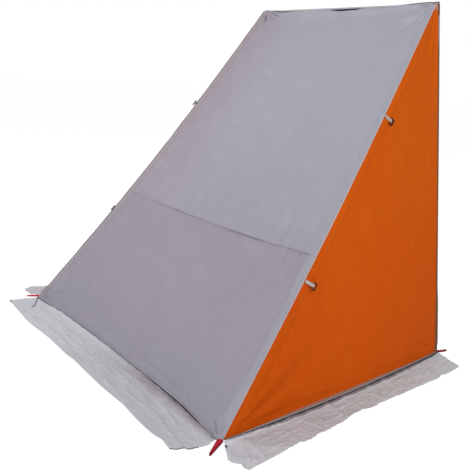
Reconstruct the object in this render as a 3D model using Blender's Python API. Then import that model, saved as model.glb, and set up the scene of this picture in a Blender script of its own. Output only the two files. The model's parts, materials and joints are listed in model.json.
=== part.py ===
"""Tailgate tent: a wedge of fabric held up by two upright poles behind its ridge.

Metres, +Z up. +X runs along the width, +Y towards the upright back wall, which
is a zipped flap. The origin is on the ground, in the middle of everything the
tent covers there.
"""

import math

import bmesh
import bpy
from mathutils import Vector

# Main sizes of the tent
HEIGHT = 1.95
RIDGE_WIDTH = 1.40
BASE_WIDTH = 2.00
DEPTH = 1.60
SKIRT_WIDTH = 0.21
FABRIC = 0.0015
SKIRT_THICKNESS = 0.002
GAP = 0.0003
SEWN_GAP = 0.0005

# How far the stretched fabric draws in from straight lines
EDGE_SAG = {1: 0.024, -1: 0.041}  # right and left edge
EDGE_SAG_LEAN = 1.06
RIDGE_DIP = 0.022
RIDGE_DIP_END = 0.02
HEM_SAG = 0.020

# Cross seam of the sloping panel, as a share of the way down
SEAM_SHARE = 0.63
SEAM_DROP = 0.012
SEAM_OPENING = 0.0004
PANEL_COLUMNS = 12
UPPER_ROWS = 8
LOWER_ROWS = 4

# Tapes, hems and cords sewn on the fabric
TAPE_THICKNESS = 0.001
EDGE_TAPE_WIDTH = 0.045
EDGE_TAPE_START = 0.002
STRAP_WIDTH = 0.030
STRAP_THICKNESS = 0.002
HEM_TAPE_HEIGHT = 0.018
HEM_TAPE_THICKNESS = 0.0012
HEM_CORD_RADIUS = 0.0025
HEM_CORD_END = 0.012
BINDING_WIDTH = 0.012
BACK_HEM_HEIGHT = 0.030

# Zips down both back edges
ZIP_PLANE_DEPTH = 0.003
ZIP_CENTRE_SETBACK = 0.014
ZIP_HALF_OPENING = 0.0007
ZIP_BEAD_WIDTH = 0.004
ZIP_BEAD_THICKNESS = 0.0024
ZIP_TAPE_THICKNESS = 0.001
ZIP_TAPE_END = 0.0119
ZIP_FOOT_Z = 0.036
FLAP_ZIP_FOOT_Z = 0.092
ZIP_TOP_CLEARANCE = 0.012
FLAP_FOOT_Z = 0.010

# Zip slider and its puller
SLIDER_FOOT_Z = 0.060
SLIDER_LENGTH = 0.024
SLIDER_WIDTH = 0.011
SLIDER_WEB = 0.0008
SLIDER_PLATE = 0.0012
LUG_WIDTH = 0.003
LUG_HEIGHT = 0.007
LUG_REACH = 0.0038
LUG_HOLE_RADIUS = 0.0015
LUG_HOLE_OFFSET = 0.0019
PULLER_WIDTH = 0.009
PULLER_LENGTH = 0.032
PULLER_THICKNESS = 0.0016
PULLER_SLOT_WIDTH = 0.0052
PULLER_SLOT_LENGTH = 0.009

# Upright poles, each of three sections on an elastic cord
POLE_RADIUS = 0.008
POLE_WALL = 0.0009
POLE_INSET = 0.015
SPIGOT_CLEARANCE = 0.0005
SPIGOT_LENGTH = 0.045
SPIGOT_WALL = 0.001
SECTION_JOINT_GAP = 0.0003
SPIKE_RADIUS = 0.0025
SPIKE_REACH = 0.008
SHOULDER_RADIUS = 0.004
SHOULDER_DROP = 0.006
CONE_LENGTH = 0.016
PLUG_LENGTH = 0.012
FOOT_WALL = 0.002
FOOT_FLOOR = 0.005
FOOT_LENGTH = 0.030
CORD_RADIUS = 0.0015
POLE_SIDES = 20

# Eyelets in the ends of the ridge strap
EYELET_BORE_RADIUS = 0.0042
EYELET_BARREL = 0.0006
EYELET_FLANGE_RADIUS = 0.008
EYELET_FLANGE = 0.0008

# Guy tabs and rings on the sloping edges
TAB_SHARES = {1: (0.296, 0.681), -1: (0.324, 0.696)}  # down each edge, upper and lower
TAB_WIDTH = 0.017
TAB_LENGTH = 0.044
TAB_THICKNESS = 0.0024
TAB_DROP = 0.004
TAB_RISE = {1: (8, 28), -1: (78, 70)}  # degrees out from the wall, upper and lower
EYE_WALL = 0.0012
EYE_CLEARANCE = 0.0006
RING_BAR_RADIUS = 0.0033
RING_WIDTH = 0.034
RING_LENGTH = 0.020
RING_LIFT = {1: 0, -1: 62}  # degrees out from hanging along the wall
RING_SIDES = 8

# Red peg loops at the four ground corners
LOOP_HEIGHT = 0.020
LOOP_WEB = 0.002
LOOP_TIP_RADIUS = 0.0055
LOOP_BASE_HALF = 0.012
LOOP_TONGUE_HALF = 0.004
LOOP_TONGUE_LENGTH = 0.014
LOOP_START = 0.0008
FRONT_LOOP_ANGLE = {1: -65.0, -1: -125.0}
BACK_LOOP_ANGLE = {1: 72.0, -1: 108.0}
FRONT_LOOP_LENGTH = {1: 0.125, -1: 0.080}
BACK_LOOP_LENGTH = 0.068

# Ties that hold the rolled-up flap
TIE_OFFSET = 0.35
TIE_WIDTH = 0.008
TIE_LENGTH = 0.050
TIE_THICKNESS = 0.0015
TOGGLE_RADIUS = 0.004
TOGGLE_LENGTH = 0.038

# Skirt outlines: how far each corner lies past the end of the hem, and its share of the width
SKIRT_CORNER_CLEAR = 0.030
FRONT_SKIRT_LEFT_ENDS = (0.041, -0.190, -0.415)
FRONT_SKIRT_LEFT_SHARES = (0.80, 0.90, 1.0)
FRONT_SKIRT_RIGHT_ENDS = (-0.230, -0.082, -0.031)
FRONT_SKIRT_RIGHT_SHARES = (1.0, 1.0, 0.72)
SIDE_SKIRT_FRONT_ENDS = {1: (0.074, 0.035), -1: (0.0,)}
SIDE_SKIRT_FRONT_SHARES = {1: (0.61, 1.0), -1: (0.93,)}
SIDE_SKIRT_BACK_ENDS = (-0.400, -0.060)
SIDE_SKIRT_BACK_SHARES = (1.0, 0.88)

# Loose end of the front hem's drawcord, lying on the front skirt at the left corner
TAIL_RADIUS = 0.0018
TAIL_LIFT = 0.0004
TAIL_ROUTE = ((0.014, 0.010), (0.045, 0.033), (0.090, 0.058), (0.130, 0.084), (0.156, 0.102), (0.163, 0.116))
TAIL_POINTS = 34

# Places that follow from the sizes above
BACK_LOOP_REACH = BACK_LOOP_LENGTH * math.sin(math.radians(BACK_LOOP_ANGLE[1]))
BACK_Y = (DEPTH + SKIRT_WIDTH - BACK_LOOP_REACH) / 2
FRONT_Y = BACK_Y - DEPTH
SLOPE_TOP_Y = BACK_Y - STRAP_WIDTH
SLOPE_TOP_Z = HEIGHT - STRAP_THICKNESS - GAP
SLOPE_FOOT_Z = FABRIC
ZIP_Y = BACK_Y - ZIP_PLANE_DEPTH
POLE_Y = BACK_Y - STRAP_WIDTH / 2
POLE_X = RIDGE_WIDTH / 2 - POLE_INSET
SLOPE_DOWN = Vector((0, FRONT_Y - SLOPE_TOP_Y, SLOPE_FOOT_Z - SLOPE_TOP_Z))
SLOPE_INWARD = Vector((0, -SLOPE_DOWN.z, SLOPE_DOWN.y)).normalized()
SIDE_LEAN = (BASE_WIDTH - RIDGE_WIDTH) / 2 / HEIGHT
SIDES = {"left": -1, "right": 1}

# Colours from the photograph, with roughness and metallic value
FINISHES = {
    "grey_fabric": ((0.38, 0.37, 0.43), 0.62, 0.0),
    "lower_grey_fabric": ((0.33, 0.30, 0.36), 0.62, 0.0),
    "orange_fabric": ((0.54, 0.089, 0.009), 0.6, 0.0),
    "skirt_fabric": ((0.485, 0.474, 0.503), 0.65, 0.0),
    "light_tape": ((0.45, 0.45, 0.48), 0.7, 0.0),
    "dark_cord": ((0.06, 0.06, 0.075), 0.75, 0.0),
    "grey_webbing": ((0.40, 0.38, 0.36), 0.8, 0.0),
    "red_webbing": ((0.56, 0.012, 0.03), 0.7, 0.0),
    "black_plastic": ((0.012, 0.012, 0.013), 0.45, 0.0),
    "zip": ((0.03, 0.03, 0.035), 0.5, 0.0),
    "bright_metal": ((0.62, 0.62, 0.64), 0.3, 1.0),
    "steel": ((0.42, 0.43, 0.45), 0.32, 1.0),
    "rubber": ((0.02, 0.02, 0.02), 0.85, 0.0),
    "elastic_cord": ((0.7, 0.7, 0.68), 0.8, 0.0),
}


def clear_scene():
    for item in list(bpy.data.objects):
        bpy.data.objects.remove(item, do_unlink=True)


def finish(name):
    """The material of that name, made once."""
    if name in bpy.data.materials:
        return bpy.data.materials[name]
    colour, roughness, metallic = FINISHES[name]
    material = bpy.data.materials.new(name)
    material.use_nodes = True
    shader = material.node_tree.nodes["Principled BSDF"]
    shader.inputs["Base Color"].default_value = (*colour, 1)
    shader.inputs["Roughness"].default_value = roughness
    shader.inputs["Metallic"].default_value = metallic
    material.diffuse_color = (*colour, 1)
    return material


def solid(name, points, faces, material, origin=(0, 0, 0), smooth=False):
    """One object from points in world space, with its origin at the given place."""
    origin = Vector(origin)
    mesh = bpy.data.meshes.new(name)
    mesh.from_pydata([Vector(point) - origin for point in points], [], faces)
    shape = bmesh.new()
    shape.from_mesh(mesh)
    bmesh.ops.recalc_face_normals(shape, faces=shape.faces)
    shape.to_mesh(mesh)
    shape.free()
    item = bpy.data.objects.new(name, mesh)
    item.location = origin
    bpy.context.scene.collection.objects.link(item)
    mesh.materials.append(finish(material))
    if smooth:
        mesh.shade_smooth()
        mesh.set_sharp_from_angle(angle=math.radians(40))
    return item


def swept(name, stations, profile, material, origin=(0, 0, 0), smooth=False, ring=False):
    """A profile carried through stations of (centre, first axis, second axis)."""
    points = []
    for centre, across, along in stations:
        points += [centre + across * a + along * b for a, b in profile]
    count = len(profile)
    faces = []
    spans = len(stations) if ring else len(stations) - 1
    for station in range(spans):
        start = station * count
        end = (station + 1) % len(stations) * count
        for corner in range(count):
            following = (corner + 1) % count
            faces.append((start + corner, start + following, end + following, end + corner))
    if not ring:
        faces.append(tuple(range(count)))
        faces.append(tuple(range(len(points) - count, len(points))))
    return solid(name, points, faces, material, origin, smooth)


def circle(radius, sides):
    turns = [math.tau * step / sides for step in range(sides)]
    return [(radius * math.cos(turn), radius * math.sin(turn)) for turn in turns]


def turned(name, loop, centre, material, sides=POLE_SIDES, origin=None):
    """A closed outline of (radius, height) turned about a vertical line."""
    centre = Vector(centre)
    points = []
    rings = []
    for radius, height in loop:
        if radius == 0:
            rings.append([len(points)])
            points.append(centre + Vector((0, 0, height)))
            continue
        rings.append(range(len(points), len(points) + sides))
        points += [centre + Vector((x, y, height)) for x, y in circle(radius, sides)]
    faces = []
    for lower, upper in zip(rings, rings[1:] + rings[:1]):
        for step in range(sides):
            following = (step + 1) % sides
            if len(lower) == 1 and len(upper) == 1:
                continue
            if len(lower) == 1:
                faces.append((lower[0], upper[step], upper[following]))
            elif len(upper) == 1:
                faces.append((lower[step], lower[following], upper[0]))
            else:
                faces.append((lower[step], lower[following], upper[following], upper[step]))
    return solid(name, points, faces, material, centre if origin is None else origin, smooth=True)


def flat_sheet(name, outline, foot_z, thickness, material, origin=(0, 0, 0)):
    """An upright prism on an outline of (x, y)."""
    stations = [(Vector((0, 0, z)), Vector((1, 0, 0)), Vector((0, 1, 0))) for z in (foot_z, foot_z + thickness)]
    return swept(name, stations, outline, material, origin)


def tube(name, route, radius, material, sides=8, origin=(0, 0, 0)):
    """A round cord through the points of a route, square to it everywhere."""
    stations = []
    for step, point in enumerate(route):
        before = route[max(step - 1, 0)]
        after = route[min(step + 1, len(route) - 1)]
        along = (after - before).normalized()
        across = along.cross(Vector((0, 0, 1))).normalized()
        stations.append((point, across, across.cross(along)))
    return swept(name, stations, circle(radius, sides), material, origin, smooth=True)


def half_width(z):
    """Half the tent's width at a height, on the outside of the side walls."""
    return BASE_WIDTH / 2 - SIDE_LEAN * z


def side_outward(side):
    """The way out of a side wall, square to it."""
    return Vector((side, 0, SIDE_LEAN)).normalized()


def edge_sag(across, share):
    """How far a sloping edge draws in, a share of the way down it, or between the two edges."""
    most = EDGE_SAG[1] * (1 + across) / 2 + EDGE_SAG[-1] * (1 - across) / 2
    return most * math.sin(math.pi * share**EDGE_SAG_LEAN)


def edge_inward(across):
    """The way a sloping edge draws in, within its side wall, or between the two walls."""
    top = Vector((half_width(SLOPE_TOP_Z), SLOPE_TOP_Y, SLOPE_TOP_Z))
    foot = Vector((half_width(SLOPE_FOOT_Z), FRONT_Y, SLOPE_FOOT_Z))
    inward = side_outward(1).cross((foot - top).normalized())
    return Vector((inward.x * across, inward.y, inward.z))


def fabric_dip(across, share):
    """How far the sloping panel lies behind the line between its two edges."""
    middle = 1 - across**2
    ramp = 1 - max(0, 1 - share / RIDGE_DIP_END) ** 2
    return middle * (RIDGE_DIP * ramp + (HEM_SAG - RIDGE_DIP) * share)


def slope_point(across, share):
    """The outside of the sloping panel: across -1 to 1, share 0 at the ridge to 1 at the hem."""
    top = Vector((across * half_width(SLOPE_TOP_Z), SLOPE_TOP_Y, SLOPE_TOP_Z))
    foot = Vector((across * half_width(SLOPE_FOOT_Z), FRONT_Y, SLOPE_FOOT_Z))
    lift = -SLOPE_INWARD.z * fabric_dip(across, 1) / (SLOPE_TOP_Z - SLOPE_FOOT_Z)
    point = top.lerp(foot, share * (1 - lift))
    point += edge_inward(across) * edge_sag(across, share)
    return point + SLOPE_INWARD * fabric_dip(across, share)


def slope_outward(across, share):
    """The way out of the sloping panel, square to it."""
    step = 0.002
    left = slope_point(across - step, share)
    right = slope_point(across + step, share)
    above = slope_point(across, max(share - step, 0))
    below = slope_point(across, min(share + step, 1))
    return (below - above).cross(right - left).normalized()


def column_place(column, share):
    """Where a column of the panel's grid lies across it; the outer ones bound the edge tapes."""
    tape = EDGE_TAPE_WIDTH / half_width(SLOPE_TOP_Z * (1 - share))
    if column == 0:
        return -1
    if column == PANEL_COLUMNS:
        return 1
    return (1 - tape) * (2 * (column - 1) / (PANEL_COLUMNS - 2) - 1)


def seam_share(across):
    return SEAM_SHARE + SEAM_DROP * (1 - across**2)


def upper_rows():
    """Rows of the upper panel, as shares of the way from the ridge to the seam."""
    start = EDGE_TAPE_START / SEAM_SHARE
    dip = RIDGE_DIP_END / SEAM_SHARE
    return [0, start, dip] + [dip + (1 - dip) * row / UPPER_ROWS for row in range(1, UPPER_ROWS + 1)]


def panel_grid(part):
    """Grid of (across, share) for the upper or the lower half of the sloping panel."""
    half_opening = SEAM_OPENING / 2 / SLOPE_DOWN.length
    rows = upper_rows() if part == "upper" else [row / LOWER_ROWS for row in range(LOWER_ROWS + 1)]
    grid = []
    for row in rows:
        line = []
        for column in range(PANEL_COLUMNS + 1):
            seam = seam_share(column_place(column, SEAM_SHARE))
            if part == "upper":
                share = row * (seam - half_opening)
            else:
                share = seam + half_opening + row * (1 - seam - half_opening)
            line.append((column_place(column, share), share))
        grid.append(line)
    return grid


def sheet(name, outer, inner, columns, material):
    """A thin solid between two grids of points, with both sides split into triangles alike."""
    rows = len(outer)
    wide = len(outer[0])
    points = [point for grid in (outer, inner) for line in grid for point in line]
    far = rows * wide

    def number(row, column, layer):
        return layer * far + row * wide + column

    faces = []
    for layer in (0, 1):
        for row in range(rows - 1):
            for column in range(wide - 1):
                a = number(row, column, layer)
                b = number(row, column + 1, layer)
                c = number(row + 1, column + 1, layer)
                d = number(row + 1, column, layer)
                if columns[column] < PANEL_COLUMNS / 2:
                    faces += [(a, b, d), (b, c, d)]
                else:
                    faces += [(a, b, c), (a, c, d)]
    border = [(0, column) for column in range(wide)]
    border += [(row, wide - 1) for row in range(1, rows)]
    border += [(rows - 1, column) for column in range(wide - 2, -1, -1)]
    border += [(row, 0) for row in range(rows - 2, 0, -1)]
    for start, end in zip(border, border[1:] + border[:1]):
        faces.append((number(*start, 0), number(*end, 0), number(*end, 1)))
        faces.append((number(*start, 0), number(*end, 1), number(*start, 1)))
    return solid(name, points, faces, material)


def slope_sheet(name, grid, columns, clearance, thickness, material):
    """A sheet that follows the sloping panel's outside; clearance is out from it."""
    far = [[slope_point(*place) + slope_outward(*place) * (clearance + thickness) for place in line] for line in grid]
    near = [[slope_point(*place) + slope_outward(*place) * clearance for place in line] for line in grid]
    return sheet(name, far, near, columns, material)


def make_slope_panels():
    columns = list(range(PANEL_COLUMNS + 1))
    for part, material in (("upper", "grey_fabric"), ("lower", "lower_grey_fabric")):
        slope_sheet(f"slope_panel_{part}", panel_grid(part), columns, -FABRIC, FABRIC, material)


def make_edge_tapes():
    for name, columns in (("left", [0, 1]), ("right", [PANEL_COLUMNS - 1, PANEL_COLUMNS])):
        rows = panel_grid("upper")[1:] + panel_grid("lower")
        grid = [[line[column] for column in columns] for line in rows]
        slope_sheet(f"edge_tape_{name}", grid, columns, GAP, TAPE_THICKNESS, "light_tape")


def make_side_panels():
    """Flat walls whose sloping edge stays under the sloping panel, row by row."""
    for name, side in SIDES.items():
        outward = side_outward(side)
        inward = edge_inward(side)
        outer = []
        for line in panel_grid("upper") + panel_grid("lower"):
            share = line[0][1]
            front = slope_point(side, share) + inward * (FABRIC + SEWN_GAP)
            front.x = side * half_width(front.z)
            back = Vector((front.x, BACK_Y, front.z))
            outer.append([front, back])
        foot = outer[-1][0].z
        outer[-1] = [Vector((point.x, point.y, foot)) for point in outer[-1]]
        inner = [[point - outward * FABRIC for point in line] for line in outer]
        inner[-1] = [Vector((point.x - side * FABRIC, point.y, foot)) for point in outer[-1]]
        sheet(f"side_panel_{name}", outer, inner, [0], "orange_fabric")


def make_ridge_strap():
    """Webbing strap from pole to pole, with a hole for an eyelet near each end."""
    half = RIDGE_WIDTH / 2
    outline = [(-half, SLOPE_TOP_Y), (half, SLOPE_TOP_Y), (half, BACK_Y), (-half, BACK_Y)]
    strap = flat_sheet("ridge_strap", outline, HEIGHT - STRAP_THICKNESS, STRAP_THICKNESS, "light_tape")
    hole = EYELET_BORE_RADIUS + EYELET_BARREL + GAP
    for name, side in SIDES.items():
        loop = [(0, -STRAP_WIDTH), (hole, -STRAP_WIDTH), (hole, STRAP_WIDTH), (0, STRAP_WIDTH)]
        cutter = turned(f"hole_guide_{name}", loop, (side * POLE_X, POLE_Y, HEIGHT), "light_tape")
        cutter.hide_render = True
        cutter.display_type = "WIRE"
        cut = strap.modifiers.new(f"hole_{name}", "BOOLEAN")
        cut.object = cutter
        cut.operation = "DIFFERENCE"


def make_eyelets():
    for name, side in SIDES.items():
        barrel = EYELET_BORE_RADIUS + EYELET_BARREL
        inner = STRAP_THICKNESS / 2 + GAP
        outer = inner + EYELET_FLANGE
        loop = [
            (EYELET_BORE_RADIUS, -outer),
            (EYELET_FLANGE_RADIUS, -outer),
            (EYELET_FLANGE_RADIUS, -inner),
            (barrel, -inner),
            (barrel, inner),
            (EYELET_FLANGE_RADIUS, inner),
            (EYELET_FLANGE_RADIUS, outer),
            (EYELET_BORE_RADIUS, outer),
        ]
        centre = (side * POLE_X, POLE_Y, HEIGHT - STRAP_THICKNESS / 2)
        turned(f"eyelet_{name}", loop, centre, "bright_metal")


def upright_stations(side, setback, y, heights):
    """Level stations that follow a back edge, a set distance in from it."""
    stations = []
    for z in heights:
        centre = Vector((side * (half_width(z) - setback), y, z))
        stations.append((centre, Vector((side, 0, 0)), Vector((0, 1, 0))))
    return stations


def make_hems():
    """Dark cords along the ground, and light tapes up the side walls from them."""
    cord_z = HEM_CORD_RADIUS
    front = []
    for column in range(PANEL_COLUMNS + 1):
        across = column_place(column, 1)
        point = slope_point(across, 1)
        x = max(-1, min(1, across)) * (BASE_WIDTH / 2 - HEM_CORD_END)
        front.append(Vector((x, point.y - HEM_CORD_RADIUS - SEWN_GAP, cord_z)))
    tube("hem_cord_front", front, HEM_CORD_RADIUS, "dark_cord")
    for name, side in SIDES.items():
        x = side * (BASE_WIDTH / 2 + SEWN_GAP + HEM_CORD_RADIUS)
        route = [Vector((x, y, cord_z)) for y in (FRONT_Y + HEM_CORD_END, BACK_Y - HEM_CORD_END)]
        tube(f"hem_cord_{name}", route, HEM_CORD_RADIUS, "dark_cord")
        foot = 2 * HEM_CORD_RADIUS + GAP
        stations = upright_stations(side, 0, 0, (foot, HEM_TAPE_HEIGHT))
        front_y = FRONT_Y + HEM_CORD_END + HEM_TAPE_HEIGHT
        near = GAP
        far = GAP + HEM_TAPE_THICKNESS
        profile = [(near, front_y), (far, front_y), (far, BACK_Y), (near, BACK_Y)]
        swept(f"hem_tape_{name}", stations, profile, "light_tape")


def make_bindings():
    for name, side in SIDES.items():
        heights = (HEM_TAPE_HEIGHT + GAP, HEIGHT - STRAP_THICKNESS - GAP)
        stations = upright_stations(side, 0, 0, heights)
        near = GAP
        far = GAP + TAPE_THICKNESS
        front_y = BACK_Y - BINDING_WIDTH
        profile = [(near, front_y), (far, front_y), (far, BACK_Y), (near, BACK_Y)]
        swept(f"back_binding_{name}", stations, profile, "dark_cord")


def zip_profile(way):
    """Bead and tape of one half of a zip, going out (1) or in (-1) from its middle."""
    bead = ZIP_BEAD_THICKNESS / 2
    tape = ZIP_TAPE_THICKNESS / 2
    near = ZIP_HALF_OPENING
    step = ZIP_HALF_OPENING + ZIP_BEAD_WIDTH
    half = [(near, bead), (step, bead), (step, tape), (ZIP_TAPE_END, tape)]
    outline = half + [(a, -b) for a, b in reversed(half)]
    return [(way * a, b) for a, b in outline]


def make_zips():
    top = HEIGHT - ZIP_TOP_CLEARANCE
    for name, side in SIDES.items():
        for node, way, foot in (("zip_fixed", 1, ZIP_FOOT_Z), ("zip_flap", -1, FLAP_ZIP_FOOT_Z)):
            stations = upright_stations(side, ZIP_CENTRE_SETBACK, ZIP_Y, (foot, top))
            swept(f"{node}_{name}", stations, zip_profile(way), "zip")


def make_back_flap():
    """The zipped back wall, with a hem along its foot. It hinges at the strap's back edge."""
    top = HEIGHT - STRAP_THICKNESS - GAP
    setback = ZIP_CENTRE_SETBACK + ZIP_TAPE_END + GAP
    stations = []
    for z in (FLAP_FOOT_Z, top):
        centre = Vector((0, ZIP_Y, z))
        stations.append((centre, Vector((half_width(z) - setback, 0, 0)), Vector((0, 1, 0))))
    half = FABRIC / 2
    profile = [(-1, -half), (1, -half), (1, half), (-1, half)]
    hinge = (0, BACK_Y, top)
    swept("back_flap", stations, profile, "grey_fabric", hinge)
    near = half + GAP
    far = near + HEM_TAPE_THICKNESS
    stations = []
    for z in (FLAP_FOOT_Z, FLAP_FOOT_Z + BACK_HEM_HEIGHT):
        centre = Vector((0, ZIP_Y, z))
        stations.append((centre, Vector((half_width(z) - setback, 0, 0)), Vector((0, 1, 0))))
    profile = [(-1, near), (1, near), (1, far), (-1, far)]
    swept("back_hem", stations, profile, "light_tape", hinge)


def make_zip_sliders():
    """Two plates joined by a web between the halves of the zip, with a lug for the puller."""
    plate_near = ZIP_BEAD_THICKNESS / 2 + GAP
    plate_far = plate_near + SLIDER_PLATE
    half = SLIDER_WIDTH / 2
    web = SLIDER_WEB / 2
    corner = [(half, plate_far), (half, plate_near), (web, plate_near)]
    outline = corner + [(a, -b) for a, b in reversed(corner)]
    outline += [(-a, -b) for a, b in corner] + [(-a, b) for a, b in reversed(corner)]
    lug_y = ZIP_Y + plate_far + LUG_HOLE_OFFSET
    lug_z = SLIDER_FOOT_Z + SLIDER_LENGTH / 2
    for name, side in SIDES.items():
        heights = (SLIDER_FOOT_Z, SLIDER_FOOT_Z + SLIDER_LENGTH)
        stations = upright_stations(side, ZIP_CENTRE_SETBACK, ZIP_Y, heights)
        lug_x = side * (half_width(lug_z) - ZIP_CENTRE_SETBACK)
        origin = (lug_x, lug_y, lug_z)
        slider = swept(f"zip_slider_{name}", stations, outline, "black_plastic", origin)
        add_lug(slider, name, origin, lug_y - LUG_HOLE_OFFSET - SLIDER_PLATE / 2)
        make_puller(name, origin)


def add_lug(slider, name, origin, foot_y):
    """Unite a lug with the slider, then bore it across."""
    x, y, z = origin
    half = LUG_WIDTH / 2
    stations = [(Vector((x + end, 0, z)), Vector((0, 1, 0)), Vector((0, 0, 1))) for end in (-half, half)]
    tip_y = foot_y + SLIDER_PLATE / 2 + LUG_REACH
    profile = [(foot_y, -LUG_HEIGHT / 2), (tip_y, -LUG_HEIGHT / 2), (tip_y, LUG_HEIGHT / 2), (foot_y, LUG_HEIGHT / 2)]
    block = swept(f"lug_guide_{name}", stations, profile, "black_plastic", origin)
    ends = [(Vector((x + end, y, z)), Vector((0, 1, 0)), Vector((0, 0, 1))) for end in (-LUG_WIDTH, LUG_WIDTH)]
    bore = swept(f"bore_guide_{name}", ends, circle(LUG_HOLE_RADIUS, 12), "black_plastic", origin)
    for guide, operation in ((block, "UNION"), (bore, "DIFFERENCE")):
        guide.hide_render = True
        guide.display_type = "WIRE"
        change = slider.modifiers.new(operation.lower(), "BOOLEAN")
        change.object = guide
        change.operation = operation


def make_puller(name, origin):
    """A flat tag whose slotted end hangs through the lug."""
    x, y, z = origin
    bar = PULLER_THICKNESS / 2
    half = PULLER_WIDTH / 2
    slot = PULLER_SLOT_WIDTH / 2
    foot = bar - PULLER_LENGTH
    slot_foot = -bar - PULLER_SLOT_LENGTH
    outer = [(-half, bar), (half, bar), (half * 0.7, foot), (-half * 0.7, foot)]
    inner = [(-slot, -bar), (slot, -bar), (slot, slot_foot), (-slot, slot_foot)]
    points = []
    for face in (-bar, bar):
        points += [Vector((x + a, y + face, z + b)) for a, b in outer + inner]
    faces = []
    for corner in range(4):
        following = (corner + 1) % 4
        for layer in (0, 8):
            faces.append((layer + corner, layer + following, layer + 4 + following, layer + 4 + corner))
        faces.append((corner, following, 8 + following, 8 + corner))
        faces.append((4 + corner, 4 + following, 12 + following, 12 + corner))
    solid(f"zip_puller_{name}", points, faces, "black_plastic", origin)


def make_poles():
    """Three tubes on each side, the lower two with a spigot that enters the tube above."""
    bore = POLE_RADIUS - POLE_WALL
    spigot = bore - SPIGOT_CLEARANCE
    spigot_bore = spigot - SPIGOT_WALL
    foot_seat = FOOT_FLOOR + GAP
    shoulder_z = HEIGHT - SHOULDER_DROP
    cone_z = shoulder_z - CONE_LENGTH
    section = (cone_z - foot_seat) / 3
    joints = [foot_seat + section, foot_seat + 2 * section]
    plug_z = cone_z - PLUG_LENGTH
    for name, side in SIDES.items():
        place = (side * POLE_X, POLE_Y, 0)
        pivot = (side * POLE_X, POLE_Y, HEIGHT - STRAP_THICKNESS / 2)
        top = [
            (0, HEIGHT + SPIKE_REACH),
            (SPIKE_RADIUS * 0.6, HEIGHT + SPIKE_REACH),
            (SPIKE_RADIUS, HEIGHT + SPIKE_REACH - SPIKE_RADIUS),
            (SPIKE_RADIUS, shoulder_z),
            (SHOULDER_RADIUS, shoulder_z),
            (POLE_RADIUS, cone_z),
            (POLE_RADIUS, joints[1] + SECTION_JOINT_GAP),
            (bore, joints[1] + SECTION_JOINT_GAP),
            (bore, plug_z),
            (0, plug_z),
        ]
        turned(f"pole_top_{name}", top, place, "steel", origin=pivot)
        lengths = (("middle", joints[0] + SECTION_JOINT_GAP, joints[1]), ("lower", foot_seat, joints[0]))
        for part, foot, head in lengths:
            step = min(SPIGOT_LENGTH / 2, section / 4)
            loop = [
                (POLE_RADIUS, foot),
                (POLE_RADIUS, head),
                (spigot, head),
                (spigot, head + SPIGOT_LENGTH),
                (spigot_bore, head + SPIGOT_LENGTH),
                (spigot_bore, head - step),
                (bore, head - step),
                (bore, foot),
            ]
            turned(f"pole_{part}_{name}", loop, place, "steel", origin=(place[0], place[1], head))
        sleeve = POLE_RADIUS + GAP
        cap = [
            (0, 0),
            (sleeve + FOOT_WALL, 0),
            (sleeve + FOOT_WALL, FOOT_LENGTH),
            (sleeve, FOOT_LENGTH),
            (sleeve, FOOT_FLOOR),
            (0, FOOT_FLOOR),
        ]
        turned(f"pole_foot_{name}", cap, place, "rubber")
        cord = [(0, foot_seat), (CORD_RADIUS, foot_seat), (CORD_RADIUS, plug_z - GAP), (0, plug_z - GAP)]
        turned(f"shock_cord_{name}", cord, place, "elastic_cord", sides=8, origin=pivot)


def eye_profile(thickness, length, radius):
    """Side view of a strap that ends in an eye round a bar: (down the strap, off its middle)."""
    inner = radius + EYE_CLEARANCE
    outer = inner + EYE_WALL
    half = thickness / 2
    neck = math.asin(half / outer)
    centre = length
    steps = 14
    rim = []
    for step in range(steps + 1):
        turn = math.pi - neck - (math.tau - 2 * neck) * step / steps
        rim.append((centre + outer * math.cos(turn), outer * math.sin(turn)))
    hole = [(centre + inner * math.cos(math.tau * k / 12), inner * math.sin(math.tau * k / 12)) for k in range(12)]
    return [(0, half)] + rim + [(0, -half)], hole


def eyed_strap(name, top, down, across, out, width, thickness, length, radius, material):
    """A flat strap with an eye at its end, cut from one solid."""
    outline, hole = eye_profile(thickness, length, radius)
    ends = [(top + across * end, down, out) for end in (-width / 2, width / 2)]
    strap = swept(name, ends, outline, material, top, smooth=True)
    through = [(top + across * end, down, out) for end in (-width, width)]
    guide = swept(f"{name}_guide", through, hole, material, top)
    guide.hide_render = True
    guide.display_type = "WIRE"
    cut = strap.modifiers.new("eye", "BOOLEAN")
    cut.object = guide
    cut.operation = "DIFFERENCE"
    return strap


def tab_frame(side, share, rise):
    """Root of a guy tab on a sloping edge, its ways down, across and out, and how its ring hangs."""
    down_edge = (slope_point(side, share + 0.01) - slope_point(side, share - 0.01)).normalized()
    outward = side_outward(side)
    inward = outward.cross(down_edge) * side
    lean = math.radians(rise)
    down = inward * math.cos(lean) + outward * math.sin(lean)
    out = outward * math.cos(lean) - inward * math.sin(lean)
    root = slope_point(side, share) + edge_inward(side) * (FABRIC + SEWN_GAP + TAB_DROP)
    root.x = side * half_width(root.z)
    root += outward * (GAP + TAB_THICKNESS / 2 * math.cos(lean))
    return root, down, down.cross(out), out, (inward, outward)


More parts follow.
